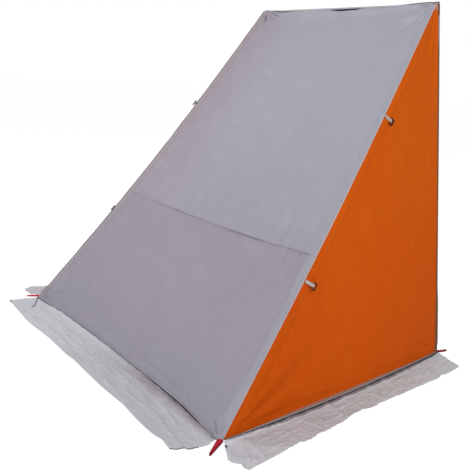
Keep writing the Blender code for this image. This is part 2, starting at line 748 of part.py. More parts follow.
def make_guy_points():
    """Webbing tabs along the sloping edges, each with a rectangular ring in its eye."""
    for name, side in SIDES.items():
        for level, share, rise in zip(("upper", "lower"), TAB_SHARES[side], TAB_RISE[side]):
            root, down, across, out, (hanging, outward) = tab_frame(side, share, rise)
            eyed_strap(
                f"guy_tab_{name}_{level}", root, down, across, out,
                TAB_WIDTH, TAB_THICKNESS, TAB_LENGTH, RING_BAR_RADIUS, "grey_webbing",
            )
            pivot = root + down * TAB_LENGTH
            lift = math.radians(RING_LIFT[side])
            ring_way = hanging * math.cos(lift) + outward * math.sin(lift)
            ring_face = outward * math.cos(lift) - hanging * math.sin(lift)
            make_ring(f"guy_ring_{name}_{level}", pivot, ring_way, across, ring_face)


def make_ring(name, pivot, down, across, out):
    """A rectangular ring of round bar, with one long side through the pivot."""
    half = RING_WIDTH / 2
    corners = [(-half, 0), (half, 0), (half, RING_LENGTH), (-half, RING_LENGTH)]
    bend = RING_BAR_RADIUS * 1.5
    stations = []
    for number, (a, b) in enumerate(corners):
        for share in (0, 1, 2):
            turn = math.radians(-135 + 90 * number - 45 + 45 * share)
            centre_a = a - math.copysign(bend, a)
            centre_b = b + (bend if b == 0 else -bend)
            ray = across * math.cos(turn) + down * math.sin(turn)
            centre = pivot + across * centre_a + down * centre_b + ray * bend
            stations.append((centre, ray, out))
    profile = circle(RING_BAR_RADIUS, RING_SIDES)
    return swept(name, stations, profile, "black_plastic", pivot, smooth=True, ring=True)


def make_peg_loops():
    """Red webbing folded on edge, sewn to the ground corners by a tongue."""
    for name, side in SIDES.items():
        places = (
            ("front", FRONT_Y, FRONT_LOOP_ANGLE[side], FRONT_LOOP_LENGTH[side]),
            ("back", BACK_Y, BACK_LOOP_ANGLE[side], BACK_LOOP_LENGTH),
        )
        for end, corner_y, angle, length in places:
            outward = Vector((math.cos(math.radians(angle)), math.sin(math.radians(angle)), 0))
            corner = Vector((side * BASE_WIDTH / 2, corner_y, 0)) + outward * LOOP_START
            make_peg_loop(f"peg_loop_{end}_{name}", corner, outward, length)


def make_peg_loop(name, start, outward, length):
    across = Vector((-outward.y, outward.x, 0))
    tip = length - LOOP_TIP_RADIUS
    arc = [math.radians(90 - 180 * step / 8) for step in range(9)]

    def outline(radius, base_half, base):
        round_end = [(tip + radius * math.cos(turn), radius * math.sin(turn)) for turn in arc]
        return [(base, base_half)] + round_end + [(base, -base_half)]

    outer = [(0, LOOP_TONGUE_HALF)] + outline(LOOP_TIP_RADIUS, LOOP_BASE_HALF, LOOP_TONGUE_LENGTH)
    outer.append((0, -LOOP_TONGUE_HALF))
    inner = outline(LOOP_TIP_RADIUS - LOOP_WEB, LOOP_BASE_HALF - LOOP_WEB, LOOP_TONGUE_LENGTH + LOOP_WEB)
    hinge = start + Vector((0, 0, LOOP_HEIGHT))
    levels = [(start + Vector((0, 0, z)), outward, across) for z in (0, LOOP_HEIGHT)]
    loop = swept(name, levels, outer, "red_webbing", hinge)
    through = [(start + Vector((0, 0, z)), outward, across) for z in (-LOOP_HEIGHT, 2 * LOOP_HEIGHT)]
    guide = swept(f"{name}_guide", through, inner, "red_webbing", hinge)
    guide.hide_render = True
    guide.display_type = "WIRE"
    cut = loop.modifiers.new("peg_hole", "BOOLEAN")
    cut.object = guide
    cut.operation = "DIFFERENCE"


def make_ties():
    """Toggles on short straps under the ridge, which hold the rolled-up flap."""
    down = Vector((0, 0, -1))
    out = Vector((0, 1, 0))
    for name, side in SIDES.items():
        top = Vector((side * TIE_OFFSET, POLE_Y, HEIGHT - STRAP_THICKNESS - GAP))
        eyed_strap(
            f"tie_strap_{name}", top, down, Vector((1, 0, 0)), out,
            TIE_WIDTH, TIE_THICKNESS, TIE_LENGTH, TOGGLE_RADIUS, "grey_webbing",
        )
        half = TOGGLE_LENGTH / 2
        chamfer = TOGGLE_RADIUS / 3
        stations = []
        for x, size in ((-half, 0.7), (chamfer - half, 1), (half - chamfer, 1), (half, 0.7)):
            centre = top + down * TIE_LENGTH + Vector((x, 0, 0))
            stations.append((centre, Vector((0, size, 0)), Vector((0, 0, size))))
        swept(f"tie_toggle_{name}", stations, circle(TOGGLE_RADIUS, 12), "black_plastic", top, smooth=True)


def make_front_skirt():
    """Mud flap in front of the hem, flat on the ground. It hinges at the height of the hem's cord."""
    inner = []
    half = BASE_WIDTH / 2 - SKIRT_CORNER_CLEAR
    lead = 2 * HEM_CORD_RADIUS + 2 * SEWN_GAP
    for column in range(PANEL_COLUMNS + 1):
        across = column_place(column, 1)
        inner.append((across * half, slope_point(across, 1).y - lead))
    end = BASE_WIDTH / 2
    left_corners = zip(FRONT_SKIRT_LEFT_ENDS, FRONT_SKIRT_LEFT_SHARES)
    right_corners = zip(FRONT_SKIRT_RIGHT_ENDS, FRONT_SKIRT_RIGHT_SHARES)
    left = [(-end - along, FRONT_Y - share * SKIRT_WIDTH) for along, share in left_corners]
    right = [(end + along, FRONT_Y - share * SKIRT_WIDTH) for along, share in right_corners]
    hinge = (0, slope_point(0, 1).y - lead, 2 * HEM_CORD_RADIUS)
    outline = left + right + list(reversed(inner))
    flat_sheet("skirt_front", outline, 0, SKIRT_THICKNESS, "skirt_fabric", hinge)


def make_side_skirts():
    inner = BASE_WIDTH / 2 + 2 * HEM_CORD_RADIUS + 2 * SEWN_GAP
    for name, side in SIDES.items():
        front = zip(SIDE_SKIRT_FRONT_SHARES[side], [FRONT_Y - along for along in SIDE_SKIRT_FRONT_ENDS[side]])
        back = zip(SIDE_SKIRT_BACK_SHARES, [BACK_Y + along for along in SIDE_SKIRT_BACK_ENDS])
        outer = [(BASE_WIDTH / 2 + share * SKIRT_WIDTH, y) for share, y in [*front, *back]]
        outline = [(inner, FRONT_Y + SKIRT_CORNER_CLEAR)] + outer + [(inner, BACK_Y - HEM_CORD_END)]
        outline = [(side * x, y) for x, y in outline]
        hinge = (side * inner, 0, SKIRT_THICKNESS)
        flat_sheet(f"skirt_{name}", outline, 0, SKIRT_THICKNESS, "skirt_fabric", hinge)


def smooth_route(points, count):
    """Points on a smooth curve through the given ones."""
    ends = [points[0] * 2 - points[1], *points, points[-1] * 2 - points[-2]]
    spans = len(points) - 1
    route = []
    for step in range(count):
        place = min(step * spans / (count - 1), spans - 1e-9)
        span = int(place)
        t = place - span
        a, b, c, d = ends[span : span + 4]
        route.append(0.5 * (2 * b + (c - a) * t + (2 * a - 5 * b + 4 * c - d) * t**2 + (3 * b - a - 3 * c + d) * t**3))
    return route


def make_drawcord_tail():
    """The cord's loose end, which lies on the front skirt and moves with it."""
    z = SKIRT_THICKNESS + GAP + TAIL_RADIUS + TAIL_LIFT
    corner = Vector((-BASE_WIDTH / 2, FRONT_Y, z))
    points = [corner + Vector((x, -y, 0)) for x, y in TAIL_ROUTE]
    curve = bpy.data.curves.new("drawcord_tail", "CURVE")
    curve.dimensions = "3D"
    curve.bevel_depth = TAIL_RADIUS
    curve.bevel_resolution = 2
    curve.use_fill_caps = True
    route = smooth_route(points, TAIL_POINTS)
    line = curve.splines.new("POLY")
    line.points.add(len(route) - 1)
    for point, place in zip(line.points, route):
        point.co = (*place, 1)
    item = bpy.data.objects.new("drawcord_tail", curve)
    curve.materials.append(finish("dark_cord"))
    bpy.context.scene.collection.objects.link(item)


def main():
    clear_scene()
    make_slope_panels()
    make_edge_tapes()
    make_side_panels()
    make_ridge_strap()
    make_eyelets()
    make_hems()
    make_bindings()
    make_zips()
    make_back_flap()
    make_zip_sliders()
    make_poles()
    make_guy_points()
    make_peg_loops()
    make_ties()
    make_front_skirt()
    make_side_skirts()
    make_drawcord_tail()


main()
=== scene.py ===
"""Looks of the tailgate tent, dressed round its solids. Metres, +Z up, +Y towards the back wall."""

import json
import math

import bmesh
import bpy
import numpy as np
from mathutils import Matrix, Vector

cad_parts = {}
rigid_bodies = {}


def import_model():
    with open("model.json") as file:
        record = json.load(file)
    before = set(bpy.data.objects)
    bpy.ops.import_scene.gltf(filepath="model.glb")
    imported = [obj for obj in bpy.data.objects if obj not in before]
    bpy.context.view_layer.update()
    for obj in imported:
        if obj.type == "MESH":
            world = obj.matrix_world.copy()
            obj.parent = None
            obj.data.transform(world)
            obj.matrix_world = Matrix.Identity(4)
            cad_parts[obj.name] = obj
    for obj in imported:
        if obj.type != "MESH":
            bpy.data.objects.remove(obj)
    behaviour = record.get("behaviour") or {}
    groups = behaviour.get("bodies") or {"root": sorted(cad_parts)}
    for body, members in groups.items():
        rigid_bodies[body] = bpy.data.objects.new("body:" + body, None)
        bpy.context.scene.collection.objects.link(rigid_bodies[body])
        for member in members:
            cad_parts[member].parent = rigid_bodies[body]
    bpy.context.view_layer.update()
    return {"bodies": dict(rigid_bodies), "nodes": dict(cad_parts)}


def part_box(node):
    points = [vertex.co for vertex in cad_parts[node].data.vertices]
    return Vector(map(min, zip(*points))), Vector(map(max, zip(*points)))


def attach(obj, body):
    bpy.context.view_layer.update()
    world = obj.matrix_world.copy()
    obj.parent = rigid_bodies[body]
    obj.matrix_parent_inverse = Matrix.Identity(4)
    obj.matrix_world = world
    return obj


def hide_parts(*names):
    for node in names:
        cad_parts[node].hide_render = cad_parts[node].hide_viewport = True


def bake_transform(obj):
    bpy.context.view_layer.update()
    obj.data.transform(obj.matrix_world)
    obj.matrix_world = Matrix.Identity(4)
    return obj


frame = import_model()

# Camera of the photograph, which is 470 pixels wide
FRAME_PIXELS = 470
FOCAL_PIXELS = 622.6
SENSOR_WIDTH = 36.0
CAMERA_PLACE = Vector((2.811, -2.237, 1.552))
CAMERA_TURN = -50.18
CAMERA_PITCH = 15.07
CAMERA_ROLL = -3.41

# Main sizes, read from the solids
STRAP_LOW, STRAP_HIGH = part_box("ridge_strap")
HEIGHT = STRAP_HIGH.z
RIDGE_HALF = STRAP_HIGH.x
BACK_Y = STRAP_HIGH.y
SLOPE_TOP_Y = STRAP_LOW.y
SLOPE_TOP_Z = STRAP_LOW.z - 0.0003
FRONT_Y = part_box("slope_panel_lower")[0].y
BASE_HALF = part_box("hem_cord_right")[0].x - 0.0005
SIDE_LEAN = (BASE_HALF - RIDGE_HALF) / HEIGHT
SLOPE_FOOT_Z = 0.0015
POLE_X = (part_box("pole_top_right")[0].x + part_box("pole_top_right")[1].x) / 2
POLE_Y = (SLOPE_TOP_Y + BACK_Y) / 2
ZIP_Y = BACK_Y - 0.003
FLAP_FOOT_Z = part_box("back_flap")[0].z

# How the fabric draws in from straight lines, as in the solids
EDGE_SAGS = {"left": 0.041, "right": 0.024}
EDGE_SAG_LEAN = 1.06
RIDGE_DIP = 0.022
RIDGE_DIP_END = 0.02
HEM_SAG = 0.020
SEAM_SHARE = 0.63
SEAM_DROP = 0.012
FABRIC = 0.0015
GAP = 0.0003
WALL_SETBACK = FABRIC + 0.0005

SLOPE_DOWN = np.array([0, FRONT_Y - SLOPE_TOP_Y, SLOPE_FOOT_Z - SLOPE_TOP_Z])
SLOPE_LENGTH = float(np.linalg.norm(SLOPE_DOWN))
SLOPE_INWARD = np.array([0, -SLOPE_DOWN[2], SLOPE_DOWN[1]]) / SLOPE_LENGTH
SLOPE_TURN = math.atan2(-SLOPE_DOWN[2], -SLOPE_DOWN[1])
SIDES = {"left": -1, "right": 1}
SIDEWAYS = np.array([1.0, 0, 0])
BACKWARDS = np.array([0, 1.0, 0])
UPWARDS = np.array([0, 0, 1.0])


def smooth(value, start, end):
    """Rises smoothly from 0 at start to 1 at end."""
    share = np.clip((np.asarray(value, float) - start) / (end - start), 0, 1)
    return share * share * (3 - 2 * share)


def hump(value, centre, width):
    """1 at the centre, falling away on both sides."""
    return np.exp(-(((value - centre) / width) ** 2))


def ripples(x, y, size, seed, stretch=1.0):
    """Gentle waves of about the given size across, roughly -1 to 1; stretch lengthens them along y."""
    chance = np.random.default_rng(seed)
    total = 0
    for _ in range(9):
        turn = chance.uniform(0, math.tau)
        reach = size * chance.uniform(0.6, 1.7)
        phase = chance.uniform(0, math.tau)
        along = x * math.cos(turn) + y / stretch * math.sin(turn)
        total = total + np.sin(along * math.tau / reach + phase)
    return total / 4.2


def wander(x, size, seed):
    """Ripples along one line."""
    return ripples(x, 0 * x, size, seed)


def waves(x, y, rows, lowest=-math.inf):
    """Ripples of several sizes added up; each row is a height, a size, a seed and a stretch."""
    return sum(height * np.maximum(ripples(x, y, *row), lowest) for height, *row in rows)


def fold(x, y, start, end, width, height, spread=0.0):
    """A soft fold between two points, fading at both ends; spread widens it towards its end."""
    run = (end[0] - start[0], end[1] - start[1])
    length = math.hypot(*run)
    along = ((x - start[0]) * run[0] + (y - start[1]) * run[1]) / length**2
    off = ((x - start[0]) * run[1] - (y - start[1]) * run[0]) / length
    off = off / (width * (1 + spread * np.clip(along, 0, 1)))
    fade = np.sin(math.pi * np.clip(along, 0, 1) ** 0.8) ** 1.2
    return height * fade * np.exp(-(off**2))


def fan(x, y, corner, angles, reach, width, height, seed):
    """Folds that spread from a corner at the given angles, alternately up and down."""
    chance = np.random.default_rng(seed)
    total = 0
    for number, angle in enumerate(angles):
        turn = math.radians(angle)
        length = reach * chance.uniform(0.65, 1.25)
        end = (corner[0] + math.cos(turn) * length, corner[1] + math.sin(turn) * length)
        rise = height * chance.uniform(0.7, 1.3) * (1 if number % 2 else -1)
        total = total + fold(x, y, corner, end, width, rise, spread=3.0)
    return total


def creased(x, y, folds, fans):
    """A panel's single folds and its fans of folds added up."""
    return sum(fold(x, y, *row) for row in folds) + sum(fan(x, y, *row) for row in fans)


def half_width(z):
    """Half the tent's width at a height."""
    return BASE_HALF - SIDE_LEAN * z


def wall_outward(side):
    """The outward way of a side wall."""
    return np.array([side, 0, SIDE_LEAN]) / math.hypot(1, SIDE_LEAN)


def edge_inward():
    """The way a sloping edge draws in within its side wall, for the right edge."""
    top = np.array([half_width(SLOPE_TOP_Z), SLOPE_TOP_Y, SLOPE_TOP_Z])
    foot = np.array([half_width(SLOPE_FOOT_Z), FRONT_Y, SLOPE_FOOT_Z])
    return np.cross(wall_outward(1), (foot - top) / np.linalg.norm(foot - top))


EDGE_INWARD = edge_inward()


def fabric_dip(across, share):
    """How far the sloping fabric sags inward between its edges."""
    ramp = 1 - np.maximum(0, 1 - share / RIDGE_DIP_END) ** 2
    return (1 - across**2) * (RIDGE_DIP * ramp + (HEM_SAG - RIDGE_DIP) * share)


def slope_surface(across, share):
    """The sagging sheet of the sloping panel without its folds; arrays in, points out."""
    across, share = np.broadcast_arrays(np.asarray(across, float), np.asarray(share, float))
    lift = -SLOPE_INWARD[2] * fabric_dip(across, 1.0) / (SLOPE_TOP_Z - SLOPE_FOOT_Z)
    way = share * (1 - lift)
    top_half = half_width(SLOPE_TOP_Z)
    foot_half = half_width(SLOPE_FOOT_Z)
    x = across * (top_half + (foot_half - top_half) * way)
    y = SLOPE_TOP_Y + (FRONT_Y - SLOPE_TOP_Y) * way
    z = SLOPE_TOP_Z + (SLOPE_FOOT_Z - SLOPE_TOP_Z) * way
    most = EDGE_SAGS["right"] * (1 + across) / 2 + EDGE_SAGS["left"] * (1 - across) / 2
    sag = most * np.sin(math.pi * share**EDGE_SAG_LEAN)
    drawn = [place + way * sag for place, way in zip((x, y, z), (EDGE_INWARD[0] * across, *EDGE_INWARD[1:]))]
    return np.stack(drawn, -1) + fabric_dip(across, share)[..., None] * SLOPE_INWARD


def seam_share(across):
    """How far down the slope the cross seam runs, at a distance across."""
    return SEAM_SHARE + SEAM_DROP * (1 - across**2)


# Ridge: the strap tilts under the fabric's pull, and the fabric's edge hangs below it in a few places
STRAP_WIDTH = BACK_Y - SLOPE_TOP_Y
STRAP_TILT = math.radians(24)
RIDGE_GAPS = (
    (-0.500, 0.120, 0.0120), (-0.320, 0.100, 0.0070), (0.050, 0.140, 0.0200), (0.190, 0.080, 0.0060),
)


def strap_tilt(x):
    """The strap's tilt, nothing at the eyelets and full between them."""
    inside = smooth(POLE_X - np.abs(x), 0.02, 0.17)
    uneven = 0.86 + 0.14 * wander(x, 0.35, 5)
    return STRAP_TILT * inside * uneven * (1 - 0.55 * smooth(x, 0.33, 0.44))


def ridge_drop(x):
    """How far the fabric's top edge hangs down from its straight line."""
    drop = 0.030 * np.sin(strap_tilt(x)) * 0.92
    for centre, half, depth in RIDGE_GAPS:
        drop = drop + depth * np.clip(1 - ((x - centre) / half) ** 2, 0, 1) ** 0.8
    return drop


def hem_toe(across):
    """How far the front hem runs out near the corners, where the peg loops pull it."""
    return 0.019 * smooth(np.abs(across), 0.62, 0.93) * (1 - smooth(np.abs(across), 0.975, 0.9995))


HEM_BOW = 0.030


def hem_bow(y):
    """How far a side wall's hem bows out between its two corners."""
    share = np.clip((np.asarray(y, float) - FRONT_Y) / (BACK_Y - FRONT_Y), 0, 1)
    return HEM_BOW * np.sin(math.pi * share**0.9) ** 0.75


# Folds of the sloping panel, by distance across and distance down in metres
SLOPE_WAVES = (
    (0.0030, 0.55, 11), (0.0019, 0.22, 12, 1.6), (0.0010, 0.085, 13, 2.2), (0.0016, 0.15, 14, 6.0),
)
EDGE_STREAKS = (
    (0.062, 0.0011, 1), (0.088, -0.0009, 2), (0.122, 0.0012, 3), (0.165, -0.0009, 4), (0.205, 0.0008, 5),
)
SLOPE_FANS = (
    ((-RIDGE_HALF, 0.0), (74, 62, 48, 36, 24, 12), 0.24, 0.005, 0.0060, 31),
    ((RIDGE_HALF, 0.0), (172, 163, 153, 143, 132, 120, 110), 0.17, 0.0042, 0.0058, 32),
    ((RIDGE_HALF, 0.0), (167, 149, 128), 0.34, 0.008, 0.0050, 36),
    ((-0.99, SLOPE_LENGTH), (-4, -13, -22, -34, -48, -62), 0.22, 0.005, 0.0060, 33),
    ((0.99, SLOPE_LENGTH), (-176, -164, -150, -134, -118, -104), 0.11, 0.004, 0.0044, 34),
)
SLOPE_FOLDS = (
    ((-0.672, 0.022), (-0.618, 0.105), 0.0055, -0.0145),
    ((-0.640, 0.004), (-0.485, 0.042), 0.0050, -0.0140),
    ((0.672, 0.008), (0.560, 0.006), 0.0045, -0.0090),
    ((-0.307, 0.095), (-0.235, 0.150), 0.010, -0.0020),
    ((-0.965, 2.470), (-0.810, 2.394), 0.0060, -0.0115),
    ((-0.945, 2.487), (-0.785, 2.446), 0.0060, -0.0115),
    ((-0.995, 2.480), (-0.930, 2.404), 0.0055, -0.0105),
    ((0.985, 2.503), (0.930, 2.462), 0.0045, -0.0080),
    ((0.965, 2.509), (0.898, 2.503), 0.0045, -0.0080),
    ((0.990, 2.495), (0.948, 2.440), 0.0045, -0.0080),
    ((-0.40, 2.340), (-0.335, 2.350), 0.007, -0.0062),
    ((-0.34, 2.350), (-0.27, 2.298), 0.007, -0.0062),
    ((-0.62, 2.42), (0.35, 2.46), 0.016, -0.0028),
    ((0.10, 2.44), (0.86, 2.47), 0.013, -0.0030),
    ((-0.50, 0.034), (0.42, 0.030), 0.014, 0.0022),
    ((-0.45, 0.043), (-0.28, 0.12), 0.010, -0.0020, 1.2),
)


def slope_relief(x, down):
    """Folds of the sloping panel, out from its sagging sheet: x and distance down it in metres."""
    half = half_width(SLOPE_TOP_Z * (1 - down / SLOPE_LENGTH))
    relief = waves(x, down, SLOPE_WAVES)
    seam_near = hump(down, SEAM_SHARE * SLOPE_LENGTH, 0.30) * smooth(x, -0.75, 0.2)
    relief = relief + 0.0055 * seam_near * ripples(x, down, 0.075, 16, 5.0)
    for offset, rise, seed in EDGE_STREAKS:
        place = offset + 0.010 * wander(down, 0.9, seed)
        rise = rise * (0.55 + 0.45 * wander(down, 0.5, seed + 20))
        relief = relief + rise * hump(half - x, place, 0.011) * smooth(down, 0.25, 0.7)
        relief = relief + 0.7 * rise * hump(half + x, place, 0.012) * smooth(down, 0.2, 0.6)
    relief = relief + creased(x, down, SLOPE_FOLDS, SLOPE_FANS)
    hold = smooth(half - np.abs(x), 0.0, 0.030) * smooth(SLOPE_LENGTH - down, 0.0, 0.020)
    return relief * hold * smooth(down, 0.0, 0.012)


def seam_relief(x, from_seam, below):
    """The lap and pucker along the cross seam; from_seam is metres below it, below says which panel."""
    pull = 0.18 + 0.85 * hump(x, 0.36, 0.24) + 0.36 * hump(x, -0.22, 0.22) + 0.30 * smooth(x, 0.55, 0.80)
    near = hump(from_seam, 0, 0.010)
    wide = hump(from_seam, 0, 0.040)
    relief = 0.0024 * ripples(x, from_seam, 0.040, 41, 2.5) * wide
    relief = relief + 0.0012 * ripples(x, from_seam, 0.020, 42, 3.0) * near
    relief = relief + fold(x, from_seam, (0.345, -0.004), (0.405, -0.026), 0.006, -0.0040)
    relief = relief + fold(x, from_seam, (-0.125, -0.052), (-0.112, -0.002), 0.006, -0.0032)
    relief = relief + 0.0042 * pull * wide * (-0.25 if below else 1)
    if below:
        drape = 0.0038 * wander(x, 0.070, 44) * hump(x, 0.46, 0.24)
        relief = relief + drape * hump(from_seam, 0, 0.16) * smooth(from_seam, 0.0, 0.03)
        relief = relief - 0.0055 * pull * (0.85 + 0.30 * wander(x, 0.06, 45)) * near
    else:
        relief = relief + 0.0046 * ripples(x, from_seam, 0.030, 43, 1.5) * hump(x, -0.27, 0.17) * wide
        relief = relief + 0.0010 * (1 - smooth(np.abs(from_seam), 0.010, 0.013))
    half = half_width(SLOPE_TOP_Z * (1 - seam_share(0.0)))
    return relief * (0.30 + 0.70 * smooth(half - np.abs(x), 0.0, 0.045))


def unit(vectors):
    """Vectors brought to a length of 1."""
    return vectors / np.linalg.norm(vectors, axis=-1, keepdims=True)


def ways_along(path):
    """The way that a path runs at each of its points."""
    return unit(np.gradient(path, axis=0))


def upward_normals(points, outward):
    """Unit normals of a grid of points, turned the outward way."""
    normals = unit(np.cross(np.gradient(points, axis=1), np.gradient(points, axis=0)))
    flip = np.sign((normals * outward).sum(-1, keepdims=True))
    return normals * np.where(flip == 0, 1, flip)


def slope_points(across, share, clearance=0.0):
    """The finished outside of the sloping panel, raised by clearance."""
    base = slope_surface(across, share)
    x = base[..., 0]
    down = share * SLOPE_LENGTH
    from_seam = (share - seam_share(across)) * SLOPE_LENGTH
    above, below = (seam_relief(x, from_seam, side) for side in (False, True))
    relief = slope_relief(x, down) + np.where(from_seam < 0, above, below)
    points = base + upward_normals(base, -SLOPE_INWARD) * (relief + clearance)[..., None]
    drop = ridge_drop(x) * (1 - smooth(down, 0.0, 0.09))
    points = points + drop[..., None] * SLOPE_DOWN / SLOPE_LENGTH
    points[..., 1] -= hem_toe(across) * smooth(share, 0.90, 1.0)
    return points


def node(net, kind, inputs=(), **settings):
    """A new shader node with its settings; each input is a constant or another node's socket."""
    made = net.nodes.new("ShaderNode" + kind)
    for title, value in settings.items():
        setattr(made, title, value)
    for title, value in dict(inputs).items():
        if isinstance(value, bpy.types.NodeSocket):
            net.links.new(value, made.inputs[title])
        else:
            made.inputs[title].default_value = value
    return made


def maths(net, operation, *values):
    """The outcome of one operation on constants or sockets."""
    return node(net, "Math", dict(enumerate(values)), operation=operation).outputs[0]


def times(net, first, second):
    """Two values multiplied."""
    return maths(net, "MULTIPLY", first, second)


def times_plus(net, first, second, third):
    """The first two values multiplied, plus the third."""
    return maths(net, "MULTIPLY_ADD", first, second, third)


def scaled(net, vector, scale):
    """A vector with each axis multiplied."""
    return node(net, "VectorMath", {0: vector, 1: scale}, operation="MULTIPLY").outputs[0]


def noise(net, place, scale, detail, distortion=0.0):
    """Soft noise round 0.5."""
    settings = {"Vector": place, "Scale": scale, "Detail": detail, "Distortion": distortion}
    return node(net, "TexNoise", settings).outputs["Fac"]


def stripes(net, place, axis, period):
    """Even waves across one axis, one for each period in metres."""
    settings = {"Vector": place, "Scale": math.tau / (20 * period), "Detail": 0}
    return node(net, "TexWave", settings, wave_type="BANDS", bands_direction=axis).outputs["Fac"]


def spread_tone(net, tone, low, high):
    """A tone stretched so that low becomes 0 and high 1."""
    settings = {"Value": tone, "From Min": low, "From Max": high}
    return node(net, "MapRange", settings, interpolation_type="SMOOTHSTEP").outputs["Result"]


def mixed(net, share, first, second):
    """Two colours mixed by a share; each may be a colour or a socket."""
    return node(net, "Mix", {"Factor": share, "A": first, "B": second}, data_type="RGBA").outputs["Result"]


def finish_group(name, pattern):
    """A node group that turns a place into a height in metres and a tone round 0.5."""
    group = bpy.data.node_groups.new(name, "ShaderNodeTree")
    group.interface.new_socket(name="Place", in_out="INPUT", socket_type="NodeSocketVector")
    for title in ("Height", "Tone"):
        group.interface.new_socket(name=title, in_out="OUTPUT", socket_type="NodeSocketFloat")
    place = group.nodes.new("NodeGroupInput").outputs["Place"]
    height, tone = pattern(group, place)
    end = group.nodes.new("NodeGroupOutput")
    group.links.new(height, end.inputs["Height"])
    group.links.new(tone, end.inputs["Tone"])
    return group


def weave_pattern(net, place):
    """Plain weave: crossing threads with uneven slubs."""
    thread = 0.0009
    over = node(net, "TexChecker", {"Vector": place, "Scale": 1 / thread}).outputs["Fac"]
    crossing = times(net, over, stripes(net, place, "X", thread))
    crossing = times_plus(net, maths(net, "SUBTRACT", 1.0, over), stripes(net, place, "Y", thread), crossing)
    long_slub = noise(net, scaled(net, place, (260, 5, 5)), 1.0, 2)
    wide_slub = noise(net, scaled(net, place, (5, 260, 5)), 1.0, 2)
    slub = maths(net, "ADD", long_slub, wide_slub)
    height = times_plus(net, slub, 0.00009, times(net, crossing, 0.00006))
    return height, times_plus(net, crossing, 0.12, times_plus(net, slub, 0.5, -0.06))


def crease_pattern(net, place):
    """Small creases left from folding."""
    broad = noise(net, place, 9.0, 3, 0.6)
    fine = noise(net, place, 34.0, 3, 0.9)
    crease, small = (maths(net, "ABSOLUTE", maths(net, "SUBTRACT", tone, 0.5)) for tone in (broad, fine))
    return times_plus(net, small, 0.0013, times(net, crease, 0.006)), times_plus(net, small, 0.7, broad)


def rib_pattern(net, place):
    """Ribbed webbing: bold ribs across with a herringbone of finer ones."""
    rib = 0.0016
    slant = stripes(net, place, "DIAGONAL", rib * 0.8)
    height = times_plus(net, slant, 0.00012, times(net, stripes(net, place, "X", rib), 0.00022))
    return height, times_plus(net, slant, 0.35, times(net, noise(net, place, 160.0, 4), 0.8))


WEAVE = finish_group("plain_weave", weave_pattern)
CREASES = finish_group("packing_creases", crease_pattern)
RIBS = finish_group("webbing_ribs", rib_pattern)


def use_group(net, group, place):
    """A finish group's height and tone at a place."""
    used = net.nodes.new("ShaderNodeGroup")
    used.node_tree = group
    net.links.new(place, used.inputs["Place"])
    return used.outputs["Height"], used.outputs["Tone"]


def place_on_piece(net, turn=(0, 0, 0)):
    """Coordinates on the piece itself, turned so that its threads run along their axes."""
    place = node(net, "TexCoord").outputs["Object"]
    if turn == (0, 0, 0):
        return place
    return node(net, "Mapping", {"Vector": place, "Rotation": turn}).outputs["Vector"]


def linear(red, green, blue):
    """A screen colour from 0 to 255 as the linear colour that a shader takes."""
    shares = [value / 255 for value in (red, green, blue)]
    return (*[s / 12.92 if s <= 0.04045 else ((s + 0.055) / 1.055) ** 2.4 for s in shares], 1)


def darker(colour, share):
    """A colour multiplied by a share, which also lightens it above 1."""
    return (*[value * share for value in colour[:3]], 1)


UPPER_GREY = linear(166, 164, 175)
LOWER_GREY = linear(151, 144, 156)
LOWER_COOL = linear(147, 144, 156)
ORANGE_DEEP = linear(198, 78, 5)

# Tints over a cloth's colour: spans as (axis, no tint here, full tint here), the strength and the colour
# Upper panel: darker and pinker towards the left, and darker towards the cross seam; both are painted shade
UPPER_TINTS = (
    ((("X", -0.20, -0.85),), 0.90, linear(156, 143, 154)),
    ((("Z", 1.5, 0.6),), 0.60, LOWER_GREY),
)
# Lower panel: cooler and darker towards the foot, and darker towards the left; both are painted shade
LOWER_TINTS = (
    ((("Z", 0.45, 0.05),), 0.70, LOWER_COOL),
    ((("X", 0.0, -0.9),), 0.30, darker(LOWER_COOL, 0.82)),
)
# Side walls: a pink patch at the top, a deeper orange towards the bottom, and darker towards the front, which
# is painted shade
WALL_TINTS = (
    ((("Z", HEIGHT - 0.046, HEIGHT - 0.028),), 1.0, linear(190, 134, 112)),
    ((("Z", 1.5, 0.2),), 0.75, ORANGE_DEEP),
    ((("Y", 0.15, -0.70),), 0.72, darker(ORANGE_DEEP, 0.81)),
)
# Front flap: lighter towards the left, which is painted light, and browner and darker just in front of the
# hem on the right, a painted shadow of the hem
FRONT_FLAP_TINTS = (
    ((("X", 0.05, -0.45),), 0.90, linear(201, 200, 207)),
    ((("Y", -0.802, -0.748), ("X", -0.05, 0.45)), 0.62, linear(122, 110, 112)),
)
# Side flaps: cooler towards the back, and lighter on the raised strip beside the hem near the front, a
# painted highlight
SIDE_FLAP_TINTS = (
    ((("Y", -0.55, 0.35),), 0.90, linear(194, 203, 207)),
    ((("X either side", 1.052, 1.036), ("Y", -0.36, -0.48)), 0.80, linear(212, 210, 220)),
)
# Edge tapes: darker towards the foot, painted shade like that on the panel
RIGHT_TAPE_TINTS = (((("Z", 1.4, 0.4),), 0.80, linear(152, 150, 161)),)
LEFT_TAPE_TINTS = (((("Z", 0.9, 0.2),), 0.85, linear(150, 144, 153)),)
HEM_TAPE_TINTS = (((("Z", 0.0060, 0.0150),), 0.80, linear(164, 96, 60)),)
BINDING_TINTS = (
    ((("Z", 0.75, 0.25),), 1.0, linear(70, 64, 50)),
    ((("Z", HEIGHT - 0.25, HEIGHT - 0.16),), 1.0, linear(142, 136, 148)),
    ((("Z", HEIGHT - 0.068, HEIGHT - 0.056),), 1.0, linear(58, 40, 38)),
)


def axis_tone(net, axis, low, high):
    """A tone that rises from 0 to 1 along one axis of the piece."""
    value = node(net, "SeparateXYZ", {0: place_on_piece(net)}).outputs[axis[0]]
    if len(axis) > 1:
        value = maths(net, "ABSOLUTE", value)
    return spread_tone(net, value, low, high)


